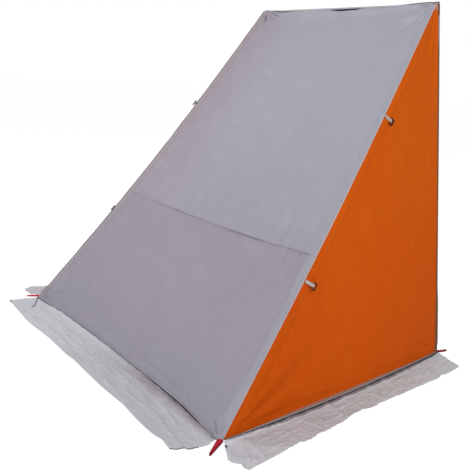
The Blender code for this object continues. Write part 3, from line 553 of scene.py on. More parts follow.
def tinted(net, colour, tints):
    """A colour with each tint laid over it in turn."""
    for spans, strength, tint in tints:
        share = strength
        for span in spans:
            share = times(net, axis_tone(net, *span), share)
        colour = mixed(net, share, colour, tint)
    return colour


def begin_material(name, roughness, metallic=0.0, sheen=0.0, coat=0.0, specular=0.15):
    """A material and its node tree, with the constants set on the shader's own sockets."""
    material = bpy.data.materials.new(name)
    material.use_nodes = True
    constants = {"Roughness": roughness, "Metallic": metallic, "Coat Weight": coat}
    constants.update({"Sheen Weight": sheen, "Sheen Roughness": 0.45})
    if metallic == 0 and roughness > 0.5:
        constants["Specular IOR Level"] = specular
    for title, value in constants.items():
        material.node_tree.nodes["Principled BSDF"].inputs[title].default_value = value
    return material, material.node_tree


def end_material(material, colour, rough, height):
    """Links a colour, a roughness and a height in metres into the material's shader."""
    net = material.node_tree
    shader = net.nodes["Principled BSDF"]
    net.links.new(colour, shader.inputs["Base Color"])
    if rough is not None:
        net.links.new(rough, shader.inputs["Roughness"])
    bump = node(net, "Bump", {"Strength": 1.0, "Distance": 1.0, "Height": height})
    net.links.new(bump.outputs["Normal"], shader.inputs["Normal"])
    return material


def cloth(name, main, other, turn=(0, 0, 0), crease=1.0, drift=1.3, tints=(), sheen=0.02):
    """Coated woven cloth: two close tones that drift, slubs, creases and a soft sheen."""
    material, net = begin_material(name, 0.62, sheen=sheen, specular=0.05 if sheen == 0 else 0.15)
    place = place_on_piece(net, turn)
    weave_height, weave_tone = use_group(net, WEAVE, place)
    crease_height, crease_tone = use_group(net, CREASES, place)
    patches = spread_tone(net, noise(net, place, drift, 2, 0.4), 0.36, 0.64)
    colour = tinted(net, mixed(net, patches, main, other), tints)
    slub = spread_tone(net, weave_tone, 0.25, 0.85)
    mottle = spread_tone(net, noise(net, place, 13.0, 3, 0.3), 0.38, 0.62)
    # Darker where the crease tone is high and lighter where it is low: painted shade of the creases
    crease_shade = maths(net, "SUBTRACT", 1.0, spread_tone(net, crease_tone, 0.30, 0.55))
    for tone, strength, share in ((slub, 0.10, 0.72), (mottle, 0.09, 0.78), (crease_shade, 0.18, 1.14)):
        colour = mixed(net, times(net, tone, strength), colour, darker(main, share))
    height = maths(net, "ADD", weave_height, times(net, crease_height, crease))
    return end_material(material, colour, times_plus(net, crease_tone, 0.12, 0.56), height)


def webbing(name, colour, turn=(0, 0, 0), strength=1.0, roughness=0.75, sheen=0.2, tints=()):
    """Webbing with ribs, worn paler on the rubbed threads."""
    material, net = begin_material(name, roughness, sheen=sheen)
    height, tone = use_group(net, RIBS, place_on_piece(net, turn))
    base = mixed(net, spread_tone(net, tone, 0.25, 0.85), darker(colour, 0.80), darker(colour, 1.10))
    rough = times_plus(net, tone, 0.15, roughness - 0.08)
    return end_material(material, tinted(net, base, tints), rough, times(net, height, strength))


def braided_cord(name, colour, pitch=0.004):
    """Braided cord: slanting strands that cross."""
    material, net = begin_material(name, 0.8, sheen=0.15)
    place = place_on_piece(net)
    other = stripes(net, scaled(net, place, (-1, 1, 1)), "DIAGONAL", pitch)
    braid = maths(net, "MAXIMUM", stripes(net, place, "DIAGONAL", pitch), other)
    # Darker where the strands dip: painted shade between the strands
    base = mixed(net, spread_tone(net, braid, 0.4, 1.0), darker(colour, 0.6), darker(colour, 1.15))
    rough = times_plus(net, noise(net, place, 700.0, 2), 0.2, 0.7)
    return end_material(material, base, rough, times(net, braid, 0.0004))


def plastic(name, colour, roughness):
    """Moulded plastic with a fine grain and scuffed high spots."""
    material, net = begin_material(name, roughness, coat=0.05)
    place = place_on_piece(net)
    scuff = spread_tone(net, noise(net, place, 120.0, 4, 0.5), 0.55, 0.75)
    base = mixed(net, times(net, scuff, 0.25), colour, (0.06, 0.06, 0.065, 1))
    height = times(net, noise(net, place, 900.0, 2), 0.00008)
    return end_material(material, base, times_plus(net, scuff, 0.2, roughness), height)


def metal(name, colour, roughness, brushed):
    """Drawn or plated metal: fine lines along or round it, and duller handled patches."""
    material, net = begin_material(name, roughness, metallic=1.0)
    place = place_on_piece(net)
    lines = noise(net, scaled(net, place, brushed), 1.0, 3)
    patch = spread_tone(net, noise(net, place, 22.0, 4, 0.6), 0.42, 0.66)
    base = mixed(net, times(net, patch, 0.3), colour, darker(colour, 0.72))
    rough = times_plus(net, patch, 0.12, times_plus(net, lines, 0.18, roughness - 0.08))
    return end_material(material, base, rough, times(net, lines, 0.00003))


def rubber(name, colour):
    """Dull rubber with a ground-in bloom of dust."""
    material, net = begin_material(name, 0.85)
    place = place_on_piece(net)
    dust = spread_tone(net, noise(net, place, 60.0, 5, 0.4), 0.48, 0.70)
    base = mixed(net, times(net, dust, 0.35), colour, linear(110, 105, 98))
    return end_material(material, base, None, times(net, noise(net, place, 1100.0, 2), 0.00015))


def thread(name, colour):
    """Twisted sewing thread."""
    material, net = begin_material(name, 0.55, sheen=0.3)
    twist = stripes(net, place_on_piece(net), "DIAGONAL", 0.0012)
    # Darker in the grooves of the twist: painted shade
    base = mixed(net, twist, darker(colour, 0.8), darker(colour, 1.1))
    return end_material(material, base, None, times(net, twist, 0.0001))


ON_SLOPE = (-SLOPE_TURN, 0, 0)
ON_WALL = (0, math.radians(90), 0)
ON_BACK = (math.radians(90), 0, 0)
UPPER_CLOTH = cloth("upper_grey_taffeta", UPPER_GREY, linear(164, 163, 174), ON_SLOPE, 0.9, tints=UPPER_TINTS)
LOWER_CLOTH = cloth("lower_grey_taffeta", LOWER_GREY, linear(152, 147, 159), ON_SLOPE, 1.0, tints=LOWER_TINTS)
WALL_CLOTH = cloth(
    "orange_taffeta", linear(201, 88, 11), linear(198, 85, 8), ON_WALL, 0.4, tints=WALL_TINTS, sheen=0
)
BACK_CLOTH = cloth("back_grey_taffeta", UPPER_GREY, linear(160, 158, 168), ON_BACK, 0.5)
FRONT_FLAP_CLOTH = cloth(
    "mud_flap_cloth", linear(190, 190, 197), linear(183, 180, 186), crease=1.6, drift=3.0,
    tints=FRONT_FLAP_TINTS,
)
SIDE_FLAP_CLOTH = cloth(
    "side_flap_cloth", linear(193, 192, 198), linear(186, 185, 190), crease=1.6, drift=3.0,
    tints=SIDE_FLAP_TINTS,
)
# A dark line along the second fold in front of the hem: painted shade
SECOND_FOLD_SHADE = cloth("painted_second_fold_shade", linear(112, 94, 98), linear(124, 104, 106), crease=0.6, drift=6.0)
# A light line along the fold in front of the hem: a painted highlight
HEM_HIGHLIGHT = cloth("front_hem_painted_highlight", linear(206, 202, 207), linear(210, 207, 211), crease=0.4)
# Dark cloth laid beside the front hem and along the flap's folded end: painted shade
HEM_SHADE_CLOTH = cloth("painted_hem_shade", linear(62, 58, 64), linear(74, 66, 70), crease=0.6)
# Darker bands along the side flaps' inner edges: painted shade beside the hem
FLAP_SHADE_BAND = cloth("painted_flap_shade_band", linear(148, 145, 152), linear(138, 135, 142), crease=0.8)
FLAP_SHADE_EDGE = cloth("painted_flap_shade_edge", linear(128, 123, 126), linear(136, 131, 133), crease=0.6)
# Painted shade along the left sloping edge
EDGE_SHADE_ROLL = cloth("left_edge_shade", linear(104, 76, 74), linear(112, 90, 88), ON_SLOPE, 0.4)
# Painted shade seen in the gaps under the ridge strap
RIDGE_SHADE_CLOTH = cloth("ridge_painted_shade", linear(40, 40, 47), linear(46, 45, 52), ON_SLOPE, 0.3)
SEAM_ALLOWANCE = cloth("back_seam_allowance", linear(88, 90, 97), linear(98, 98, 104), crease=0.3)
BINDING_FOLD = cloth("back_binding_fold", linear(104, 66, 44), linear(116, 78, 54), ON_WALL, 0.5)
EDGE_TAPES = {
    "left": webbing("left_seam_tape", linear(163, 152, 157), ON_SLOPE, 0.5, tints=LEFT_TAPE_TINTS),
    "right": webbing("right_seam_tape", linear(160, 161, 173), ON_SLOPE, 0.5, tints=RIGHT_TAPE_TINTS),
}
# Dark lines where the cross seam crosses the edge tapes, painted shade of its crease
SEAM_SHADE_LINES = {
    "left": webbing("left_seam_shade_line", linear(140, 132, 140)),
    "right": webbing("right_seam_shade_line", linear(112, 110, 120)),
}
# The left tabs take a darker copy of the tab webbing, painted shade; the front flap's left tab uses it too
TAB_WEBBINGS = {
    "left": webbing("shaded_tab_webbing", linear(108, 110, 108)),
    "right": webbing("tab_webbing", linear(176, 168, 164)),
}
HEM_WEBBING = webbing("side_hem_tape", linear(160, 156, 158), strength=0.7, tints=HEM_TAPE_TINTS)
BINDING = webbing("back_edge_binding", linear(100, 84, 70), tints=BINDING_TINTS)
# A painted highlight along the right sloping edge
EDGE_HIGHLIGHT_ROLL = webbing("right_edge_highlight", linear(205, 178, 166), strength=0.4)
LIGHT_TAPE = webbing("light_tape", linear(178, 178, 184))
RIDGE_WEBBING = webbing("ridge_webbing", linear(190, 190, 196))
MAROON_WEBBING = webbing("maroon_webbing", linear(112, 30, 40), strength=0.6)
RED_WEBBING = webbing("red_webbing", linear(196, 16, 42), roughness=0.7, sheen=0.05)
# A darker copy of the red webbing: painted shade on the loops
SHADED_RED_WEBBING = webbing("red_webbing_painted_shade", linear(122, 10, 28), roughness=0.7, sheen=0.05)
ZIP_TAPE = webbing("zip_tape", (0.030, 0.030, 0.035, 1), ON_WALL, strength=0.6)
DARK_CORD = braided_cord("dark_hem_cord", linear(58, 60, 70))
ELASTIC = braided_cord("elastic_shock_cord", linear(214, 212, 206), pitch=0.003)
BLACK_PLASTIC = plastic("black_plastic", (0.005, 0.005, 0.006, 1), 0.55)
ZIP_PLASTIC = plastic("zip_coil", (0.028, 0.028, 0.033, 1), 0.38)
PLATED = metal("plated_eyelet", (0.66, 0.66, 0.68, 1), 0.26, (40, 40, 600))
STEEL = metal("drawn_steel", (0.44, 0.45, 0.47, 1), 0.32, (500, 500, 6))
RUBBER = rubber("pole_foot_rubber", (0.02, 0.02, 0.021, 1))
GREY_THREAD = thread("grey_thread", linear(150, 150, 158))
DARK_THREAD = thread("dark_thread", linear(60, 60, 66))


def piece(name, parts, material, body, stands_for=()):
    """One closed piece that rides on a body and the solids it stands for."""
    points, faces = parts
    mesh = bpy.data.meshes.new(name)
    mesh.from_pydata(np.asarray(points, float).reshape(-1, 3).tolist(), [], faces)
    shape = bmesh.new()
    shape.from_mesh(mesh)
    bmesh.ops.recalc_face_normals(shape, faces=shape.faces)
    shape.to_mesh(mesh)
    shape.free()
    mesh.materials.append(material)
    mesh.shade_smooth()
    mesh.set_sharp_from_angle(angle=math.radians(50))
    item = bpy.data.objects.new(name, mesh)
    bpy.context.scene.collection.objects.link(item)
    if body is not None:
        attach(item, body)
    if stands_for:
        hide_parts(*stands_for)
    return item


def sheet_parts(outside, inside):
    """A closed thin sheet: an outer grid, an inner grid and the border between them."""
    rows, wide = outside.shape[:2]
    far = rows * wide
    number = np.arange(far).reshape(rows, wide)
    outer = np.stack([number[:-1, :-1], number[:-1, 1:], number[1:, 1:], number[1:, :-1]], -1).reshape(-1, 4)
    inner = outer[:, ::-1] + far
    border = [*number[0, :], *number[1:, -1], *number[-1, -2::-1], *number[-2:0:-1, 0]]
    sides = [(a, a + far, b + far, b) for a, b in zip(border, border[1:] + border[:1])]
    faces = outer.tolist() + inner.tolist() + [tuple(int(v) for v in side) for side in sides]
    return np.concatenate([outside.reshape(-1, 3), inside.reshape(-1, 3)]), faces


def sheet_piece(name, outside, thickness, outward, material, body, slot, stands_for=()):
    """A closed sheet of cloth whose outside is a grid of points."""
    inside = outside - upward_normals(outside, outward) * thickness
    return piece(name, sheet_parts(outside, inside), material, body, stands_for)


def ring_faces(rings, sides, closed=False):
    """Faces of a row of rings of points, with flat caps unless the row closes on itself."""
    faces = []
    for ring in range(rings if closed else rings - 1):
        start = ring * sides
        end = (ring + 1) % rings * sides
        for step in range(sides):
            following = (step + 1) % sides
            faces.append((start + step, start + following, end + following, end + step))
    if not closed:
        faces.append(tuple(range(sides))[::-1])
        faces.append(tuple(range((rings - 1) * sides, rings * sides)))
    return faces


def tube_parts(path, radius, sides, closed=False):
    """A round tube along a path, with flat caps unless it closes on itself."""
    path = np.asarray(path, float)
    radii = np.broadcast_to(radius, len(path))
    along = unit(np.roll(path, -1, 0) - np.roll(path, 1, 0)) if closed else ways_along(path)
    side = unit(np.cross(along[0], [0.13, 0.21, 0.97]))
    turns = np.arange(sides) * math.tau / sides
    points = []
    for centre, way, size in zip(path, along, radii):
        side = unit(side - way * (side @ way))
        other = np.cross(way, side)
        points.append(centre + size * (np.cos(turns)[:, None] * side + np.sin(turns)[:, None] * other))
    return np.concatenate(points), ring_faces(len(path), sides, closed)


# Section of flat webbing, in halves of its width and thickness
WEBBING_SECTION = (
    (-1, -0.35), (-0.97, -1), (0.97, -1), (1, -0.35), (1, 0.35), (0.97, 1), (-0.97, 1), (-1, 0.35),
)


def ribbon_parts(path, across, out, width, thickness):
    """Flat webbing along a path; across and out are its ways at each point, with rounded edges."""
    path = np.asarray(path, float)
    count = len(path)
    across = np.broadcast_to(across, (count, 3)) * np.broadcast_to(width, count)[:, None] / 2
    out = np.broadcast_to(out, (count, 3)) * thickness / 2
    rings = [path + across * a + out * b for a, b in WEBBING_SECTION]
    return np.stack(rings, 1).reshape(-1, 3), ring_faces(count, len(WEBBING_SECTION))


def joined(parts):
    """Several (points, faces) pairs as one."""
    points = []
    faces = []
    start = 0
    for some_points, some_faces in parts:
        points.append(np.asarray(some_points, float))
        faces += [tuple(int(corner) + start for corner in face) for face in some_faces]
        start += len(some_points)
    return np.concatenate(points), faces


def path_reach(path):
    """The distance along a path at each of its points."""
    steps = np.linalg.norm(np.diff(path, axis=0), axis=1)
    return np.concatenate([[0], np.cumsum(steps)])


def resampled(path, spacing):
    """Points at an even spacing along a path."""
    path = np.asarray(path, float)
    reach = path_reach(path)
    places = np.linspace(0, reach[-1], max(int(reach[-1] / spacing), 2))
    return np.stack([np.interp(places, reach, axis) for axis in path.T], 1)


def stitch_parts(path, outward, pitch=0.0055, length=0.0038, size=0.00045):
    """A row of lockstitches: a small spindle of thread for each, lying along the path."""
    path = resampled(path, pitch)
    along = ways_along(path)
    across = unit(np.cross(along, np.broadcast_to(outward, path.shape)))
    up = np.cross(across, along)
    tip = along * length / 2
    corners = (-tip, across * size, up * size, -across * size, -0.6 * up * size, tip)
    points = np.stack([path + corner for corner in corners], 1).reshape(-1, 3)
    faces = []
    for start in range(0, len(points), 6):
        for step in range(4):
            a = start + 1 + step
            b = start + 1 + (step + 1) % 4
            faces.append((start, b, a))
            faces.append((start + 5, a, b))
    return points, faces


def turned_parts(outline, centre):
    """A closed outline of (radius, height) turned about a vertical line."""
    sides = 32
    turns = np.arange(sides) * math.tau / sides
    circle = np.stack([np.cos(turns), np.sin(turns), 0 * turns], 1)
    rings = [circle * radius + UPWARDS * height for radius, height in outline]
    points = np.concatenate(rings) + np.asarray(centre, float)
    return points, ring_faces(len(outline), sides, closed=True)


def eased(count, ends=0.6):
    """Even shares from 0 to 1, drawn closer together at both ends."""
    even = np.linspace(0, 1, count)
    return even * (1 - ends) + ends * (0.5 - 0.5 * np.cos(math.pi * even))


def make_slope_panels():
    """The sloping panel in two sheets that meet at the cross seam."""
    across = eased(176) * 2 - 1
    seam = seam_share(across)
    upper_share = eased(156)[:, None] * seam
    lower_share = seam + eased(112)[:, None] * (1 - seam)
    upper_length = SLOPE_LENGTH * SEAM_SHARE
    seam_width = 2 * half_width(SLOPE_TOP_Z * (1 - SEAM_SHARE))
    upper_flat = (seam_width, upper_length, (seam_width + 2 * RIDGE_HALF) / 2 * upper_length)
    lower_length = SLOPE_LENGTH - upper_length
    lower_flat = (2 * BASE_HALF, lower_length, (seam_width + 2 * BASE_HALF) / 2 * lower_length)
    panels = (
        ("upper", upper_share, UPPER_CLOTH, "grey_fabric", upper_flat, "ridge_strap"),
        ("lower", lower_share, LOWER_CLOTH, "lower_grey_fabric", lower_flat, "upper_sloping_panel"),
    )
    for name, share, material, slot, (width, length, area), rest in panels:
        outside = slope_points(np.broadcast_to(across, share.shape), share)
        panel = sheet_piece(
            f"{name}_sloping_panel", outside, FABRIC, -SLOPE_INWARD, material, "canopy", slot,
            (f"slope_panel_{name}",),
        )


def slope_line(across, share, clearance):
    """Points along a line on the sloping panel, from two arrays."""
    across = np.asarray(across, float)
    share = np.asarray(share, float)
    band = np.stack([across - 0.002, across, across + 0.002])
    return slope_points(band, np.stack([share, share, share]), clearance)[1]


def slope_column(setback, share, side, clearance):
    """Points down the sloping panel at a distance in from one edge."""
    across = side * (1 - setback / half_width(SLOPE_TOP_Z * (1 - share)))
    columns = np.stack([across, across - side * 0.003], 1)
    return slope_points(columns, np.stack([share, share], 1), clearance)[:, 0]


def make_edge_tapes():
    """Seam tapes down both sloping edges, with two rows of stitches each."""
    share = np.concatenate([np.linspace(0.002, 0.04, 10)[:-1], np.linspace(0.04, 0.96, 150)])
    share = np.concatenate([share, np.linspace(0.96, 1, 16)[1:]])
    setbacks = np.array([0.0002, 0.002, 0.010, 0.022, 0.034, 0.043, 0.045])
    thickness = 0.001
    lift = GAP + thickness
    for name, side in SIDES.items():
        across = side * (1 - setbacks[None, :] / half_width(SLOPE_TOP_Z * (1 - share))[:, None])
        outside = slope_points(across, np.broadcast_to(share[:, None], across.shape), lift)
        material = EDGE_TAPES[name]
        sheet_piece(
            f"edge_tape_cover_{name}", outside, thickness, -SLOPE_INWARD, material, "canopy", "light_tape",
            (f"edge_tape_{name}",),
        )
        down = np.linspace(0.006, 0.996, 260)
        rows = [slope_column(setback, down, side, lift + 0.0001) for setback in (0.004, 0.0405)]
        stitches = joined([stitch_parts(row, -SLOPE_INWARD) for row in rows])
        piece(f"edge_stitches_{name}", stitches, GREY_THREAD, "canopy")


def make_edge_rolls():
    """Rolls along the sloping edges: a painted highlight on the right, and painted shade with the orange seam
    allowance on the left.
    """
    share = np.linspace(0.004, 0.9965, 260)
    shown = smooth(share, 0.34, 0.44) * (1 - smooth(share, 0.68, 0.76))
    wavy = wander(share, 0.06, 15)
    # Sizes of the painted highlight roll on the right
    light = (0.0019 + 0.0003 * wavy) * (1 - 0.45 * smooth(share, 0.45, 0.9))
    orange = 0.0012 + (0.0022 + 0.0005 * wavy) * shown
    # The light roll is a painted highlight and the dark roll painted shade; the orange roll is the side
    # wall's seam allowance
    rolls = (
        ("light", "right", light, 0.3, 0.2, EDGE_HIGHLIGHT_ROLL, "light_tape"),
        ("dark", "left", 0.0022 + 0.0004 * wavy, -0.4, 0.9, EDGE_SHADE_ROLL, "grey_fabric"),
        ("orange", "left", orange, 0.5, -0.4, WALL_CLOTH, "orange_fabric"),
    )
    for kind, name, size, off, up, material, slot in rolls:
        side = SIDES[name]
        edge = slope_column(np.zeros(share.shape), share, side, 0.0)
        path = edge + wall_outward(side) * (size * off)[:, None] - SLOPE_INWARD * (size * up)[:, None]
        piece(f"edge_roll_{kind}_{name}", tube_parts(path, size, 10), material, "canopy")


def make_corner_tacks():
    """Dense dark tacks that hold the panel's top corners to the strap."""
    tacks = []
    for side in SIDES.values():
        for x, down in ((0.6935, 0.0035), (0.6800, 0.0065)):
            share = down / SLOPE_LENGTH
            across = side * x / half_width(SLOPE_TOP_Z * (1 - share))
            line = slope_line(across + np.linspace(-0.0042, 0.0042, 7), np.full(7, share), 0.0022)
            tacks.append(tube_parts(line, 0.0019 * np.array([0.5, 0.9, 1, 1, 1, 0.9, 0.5]), 8))
    piece("ridge_corner_tacks", joined(tacks), DARK_THREAD, "canopy")


def make_seam_stitches():
    """Two rows of stitches above the cross seam, and a dark line over both seam tapes, painted shade of its
    crease.
    """
    across = np.linspace(-0.94, 0.94, 380)
    rows = [slope_line(across, seam_share(across) - up / SLOPE_LENGTH, 0.0002) for up in (0.003, 0.009)]
    stitches = joined([stitch_parts(row, -SLOPE_INWARD) for row in rows])
    piece("cross_seam_stitches", stitches, DARK_THREAD, "canopy")
    seam_half = half_width(SLOPE_TOP_Z * (1 - SEAM_SHARE))
    for name, side in SIDES.items():
        across = side * (1 - np.linspace(0.046, 0.0004, 24) / seam_half)
        middle = slope_line(across, seam_share(across) + 0.0004, GAP + 0.00165)
        crease = ribbon_parts(middle, -SLOPE_DOWN / SLOPE_LENGTH, -SLOPE_INWARD, 0.0030, 0.0006)
        piece(f"seam_shade_line_{name}", crease, SEAM_SHADE_LINES[name], "canopy")


# Folds of the side walls, by place towards the back and height
WALL_EDGE_SLANT = 0.77
WALL_WAVES = ((0.0042, 0.60, 51), (0.0016, 0.20, 52, 2.2), (0.0006, 0.07, 53, 2.5))
WALL_FANS = (
    ((FRONT_Y, 0.0), (7, 14, 22, 31), 0.62, 0.011, 0.0052, 61),
    ((BACK_Y, 0.0), (173, 165, 155, 140), 0.50, 0.011, 0.0046, 62),
    ((SLOPE_TOP_Y, 1.93), (-92, -100, -108, -118), 0.45, 0.005, 0.0032, 63),
)
WALL_FOLDS = (
    ((-0.50, 0.055), (0.05, 0.075), 0.012, 0.0036),
    ((0.20, 0.070), (0.78, 0.050), 0.012, 0.0036),
    ((-0.35, 0.13), (0.45, 0.42), 0.030, 0.0030),
    ((-0.20, 0.10), (0.62, 0.26), 0.026, -0.0026),
    ((0.62, 0.95), (0.66, 0.35), 0.028, 0.0028),
    ((0.74, 1.35), (0.80, 0.55), 0.022, -0.0026),
)


def wall_front(side, z):
    """Front edge of a side wall at a height: it follows the sloping edge from behind."""
    share = np.linspace(0, 1, 400)
    edge = slope_surface(np.full(400, side), share) + EDGE_INWARD * WALL_SETBACK
    return np.interp(z, edge[::-1, 2], edge[::-1, 1])


def wall_relief(side, y, z):
    """Folds of a side wall, out from its plane."""
    edge = (y - wall_front(side, z)) * WALL_EDGE_SLANT
    relief = waves(y, z, WALL_WAVES) + creased(y, z, WALL_FOLDS, WALL_FANS)
    streak = 0.030 + 0.006 * wander(z, 0.5, 54)
    strong = smooth(z, 0.80, 0.95) * (1 - smooth(z, 1.50, 1.75))
    relief = relief + 0.0050 * strong * hump(edge, streak, 0.014)
    uneven = 0.7 + 0.5 * wander(z, 0.22, 55)
    relief = relief - 0.0022 * uneven * strong * hump(edge, streak + 0.032, 0.024)
    relief = relief - 0.0030 * hump(edge, 0.009, 0.0035)
    weak = smooth(z, 0.10, 0.30) * (1 - smooth(z, 0.80, 0.95))
    relief = relief + 0.0022 * weak * hump(edge, 0.035, 0.014)
    relief = relief - 0.0016 * weak * hump(edge, 0.066, 0.017)
    hold = smooth(edge, 0.0, 0.006) * smooth(BACK_Y - y, 0.010, 0.045) * smooth(z, 0.028, 0.060)
    return relief * hold


def wall_points(side, y, z, clearance=0.0):
    """The finished outside of a side wall, raised by clearance."""
    edge = (y - wall_front(side, z)) * WALL_EDGE_SLANT
    bow = hem_bow(y) * np.clip(1 - z / 0.45, 0, 1) ** 1.8 * smooth(edge, 0.0, 0.03)
    rise = wall_relief(side, y, z) + bow + clearance
    return np.stack([side * half_width(z), y, z], -1) + rise[..., None] * wall_outward(side)


def make_side_walls():
    """The orange side walls, drawn in behind the sloping edges."""
    foot = slope_surface(1.0, 1.0) + EDGE_INWARD * WALL_SETBACK
    top = slope_surface(1.0, 0.0) + EDGE_INWARD * WALL_SETBACK
    high = (top[2] + (foot[2] - top[2]) * eased(190, 0.4))[:, None]
    for name, side in SIDES.items():
        front = wall_front(side, high)
        y = front + (BACK_Y - front) * eased(150, 0.5)[None, :]
        outside = wall_points(side, y, np.broadcast_to(high, y.shape))
        wall = sheet_piece(
            f"side_wall_{name}", outside, FABRIC, wall_outward(side), WALL_CLOTH, "canopy", "orange_fabric",
            (f"side_panel_{name}",),
        )


def make_ridge_strap():
    """Webbing along the ridge: flat at the eyelets, tilted forward between them."""
    x = np.concatenate([np.linspace(-RIDGE_HALF, -0.5, 60), np.linspace(-0.5, 0.5, 160)[1:-1]])
    x = np.concatenate([x, np.linspace(0.5, RIDGE_HALF, 60)])
    shares = np.array([0, 0.04, 0.25, 0.5, 0.75, 0.96, 1])
    tilt = strap_tilt(x)[:, None]
    reach = STRAP_WIDTH * shares[None, :]
    y = BACK_Y - reach * np.cos(tilt)
    uneven = 0.0004 * wander(x, 0.05, 71)[:, None] * shares[None, :] * (tilt > 0.1)
    z = HEIGHT - reach * np.sin(tilt) + uneven - 0.0001
    outside = np.stack([np.broadcast_to(x[:, None], y.shape), y, z], -1)
    sheet_piece(
        "ridge_webbing_strap", outside, 0.0017, UPWARDS, RIDGE_WEBBING, "canopy", "light_tape",
        ("ridge_strap",),
    )
    x = x[np.abs(x) < POLE_X - 0.014]
    tilt = strap_tilt(x)
    rows = []
    for reach in (STRAP_WIDTH * 0.12, STRAP_WIDTH * 0.88):
        row = np.stack([x, BACK_Y - reach * np.cos(tilt), HEIGHT - reach * np.sin(tilt) + 0.0001], 1)
        rows.append(stitch_parts(row, (0, -0.2, 1), 0.005))
    piece("ridge_stitches", joined(rows), GREY_THREAD, "canopy")


def make_ridge_shade():
    """A dark sheet under the ridge, painted shade that shows where the fabric's top edge hangs below the
    strap.
    """
    x = np.linspace(-0.66, 0.66, 240)
    tilt = strap_tilt(x)
    reach = STRAP_WIDTH - 0.003
    y = BACK_Y - reach * np.cos(tilt)
    z = HEIGHT - reach * np.sin(tilt) - 0.0032
    rows = np.stack([np.stack([x, y + 0.003 * k, z - 0.0085 * k], 1) for k in range(5)])
    sheet_piece("ridge_painted_shade", rows, 0.0008, -SLOPE_INWARD, RIDGE_SHADE_CLOTH, "canopy", "grey_fabric")


def make_ridge_end():
    """At the right the back seam's allowance stands up behind the strap, which ends in maroon webbing."""
    x = np.linspace(0.44, RIDGE_HALF - 0.001, 60)
    rise = 0.0085 * smooth(x, 0.44, 0.60) * (1 + 0.12 * wander(x, 0.09, 76))
    y = 0 * x + BACK_Y - 0.0006
    z = HEIGHT - 0.0004
    rows = np.stack([np.stack([x, y - 0.0020 * k, z + rise * k], 1) for k in (0, 0.4, 0.8, 1)])
    sheet_piece("ridge_seam_allowance", rows, 0.0012, -BACKWARDS, SEAM_ALLOWANCE, "canopy", "grey_fabric")
    way = np.linspace(0, 1, 12)
    x = RIDGE_HALF - 0.021 + 0.0205 * way
    z = HEIGHT + 0.0016 + 0.0012 * np.sin(math.pi * way)
    middle = np.stack([x, 0 * way + SLOPE_TOP_Y + 0.0028, z], 1)
    webbing_end = ribbon_parts(middle, BACKWARDS, UPWARDS, 0.0085, 0.0030)
    piece("ridge_end_webbing", webbing_end, MAROON_WEBBING, "canopy")


def make_eyelets():
    """Rolled eyelets in the strap's ends, each with a washer edge below."""
    bore = 0.0042
    rim = 0.008
    outline = [
        (bore, 0.0004), (bore + 0.0008, 0.0015), (bore + 0.002, 0.0019), (rim - 0.0006, 0.0017),
        (rim, 0.0012), (rim - 0.0002, 0.0009), (bore + 0.0006, 0.0009), (bore + 0.0006, -0.0020),
        (rim, -0.0020), (rim, -0.0027), (bore + 0.0008, -0.0028), (bore, -0.0018),
    ]
    for name, side in SIDES.items():
        eyelet = turned_parts(outline, (side * POLE_X, POLE_Y, HEIGHT - 0.0008))
        piece(f"rolled_eyelet_{name}", eyelet, PLATED, "canopy", (f"eyelet_{name}",))


def hem_line(count, setback, z):
    """Points along the front hem, from left to right, a little in front of it."""
    across = np.linspace(-1, 1, count) * (BASE_HALF - 0.012) / BASE_HALF
    edge = slope_line(across, np.ones(count), 0.0)
    edge[:, 1] -= setback
    edge[:, 2] = z
    return edge


def hem_y(x):
    """The front hem's place at a distance across."""
    line = hem_line(200, 0.0, 0)
    return np.interp(x, line[:, 0], line[:, 1])


def make_hem_cords():
    """Cords drawn along the ground: the front one bows with the hem."""
    radius = 0.0025
    path = hem_line(240, radius + 0.0005, radius)
    x = path[:, 0]
    full = np.maximum(1 - smooth(x, -0.92, -0.72), smooth(x, 0.28, 0.45) * (1 - smooth(x, 0.80, 0.92)))
    sizes = radius * (0.80 + 0.42 * full)
    path[:, 2] = sizes + 0.0002
    cord = tube_parts(path, sizes, 14)
    piece("front_drawcord", cord, DARK_CORD, "canopy", ("hem_cord_front",))
    radius = 0.004
    y = np.linspace(FRONT_Y + 0.004, BACK_Y - 0.006, 160)
    sizes = radius * (0.50 + 0.50 * smooth(y, FRONT_Y + 0.02, FRONT_Y + 0.42))
    for name, side in SIDES.items():
        x = side * (BASE_HALF + 0.0024 + radius + hem_bow(y) + 0.0006 * wander(y, 0.3, 81))
        cord = tube_parts(np.stack([x, y, np.full(160, radius + 0.0008)], 1), sizes, 14)
        piece(f"side_drawcord_{name}", cord, DARK_CORD, "canopy", (f"hem_cord_{name}",))
    make_cord_knot()


def make_cord_knot():
    """The right drawcord's knotted end at the front corner of its flap."""
    middle = np.array([1.0485, -0.7475, 0.0062])
    way = np.array([0.0053, -0.0043, 0.0])
    shares = np.linspace(-1, 1, 15)
    knot = tube_parts(middle + way * shares[:, None], 0.0050 * np.sqrt(1.02 - shares**2), 12)
    bend_with_flap(piece("side_drawcord_knot", knot, DARK_CORD, None))


def coons(low, high, start, end):
    """A grid inside four boundary curves: low and high run along, start and end across."""
    u = np.linspace(0, 1, len(low))[None, :, None]
    v = np.linspace(0, 1, len(start))[:, None, None]
    ruled = (1 - v) * low[None] + v * high[None]
    sides = (1 - u) * start[:, None] + u * end[:, None]
    corners = (1 - u) * (1 - v) * low[0] + u * (1 - v) * low[-1] + (1 - u) * v * high[0] + u * v * high[-1]
    return ruled + sides - corners


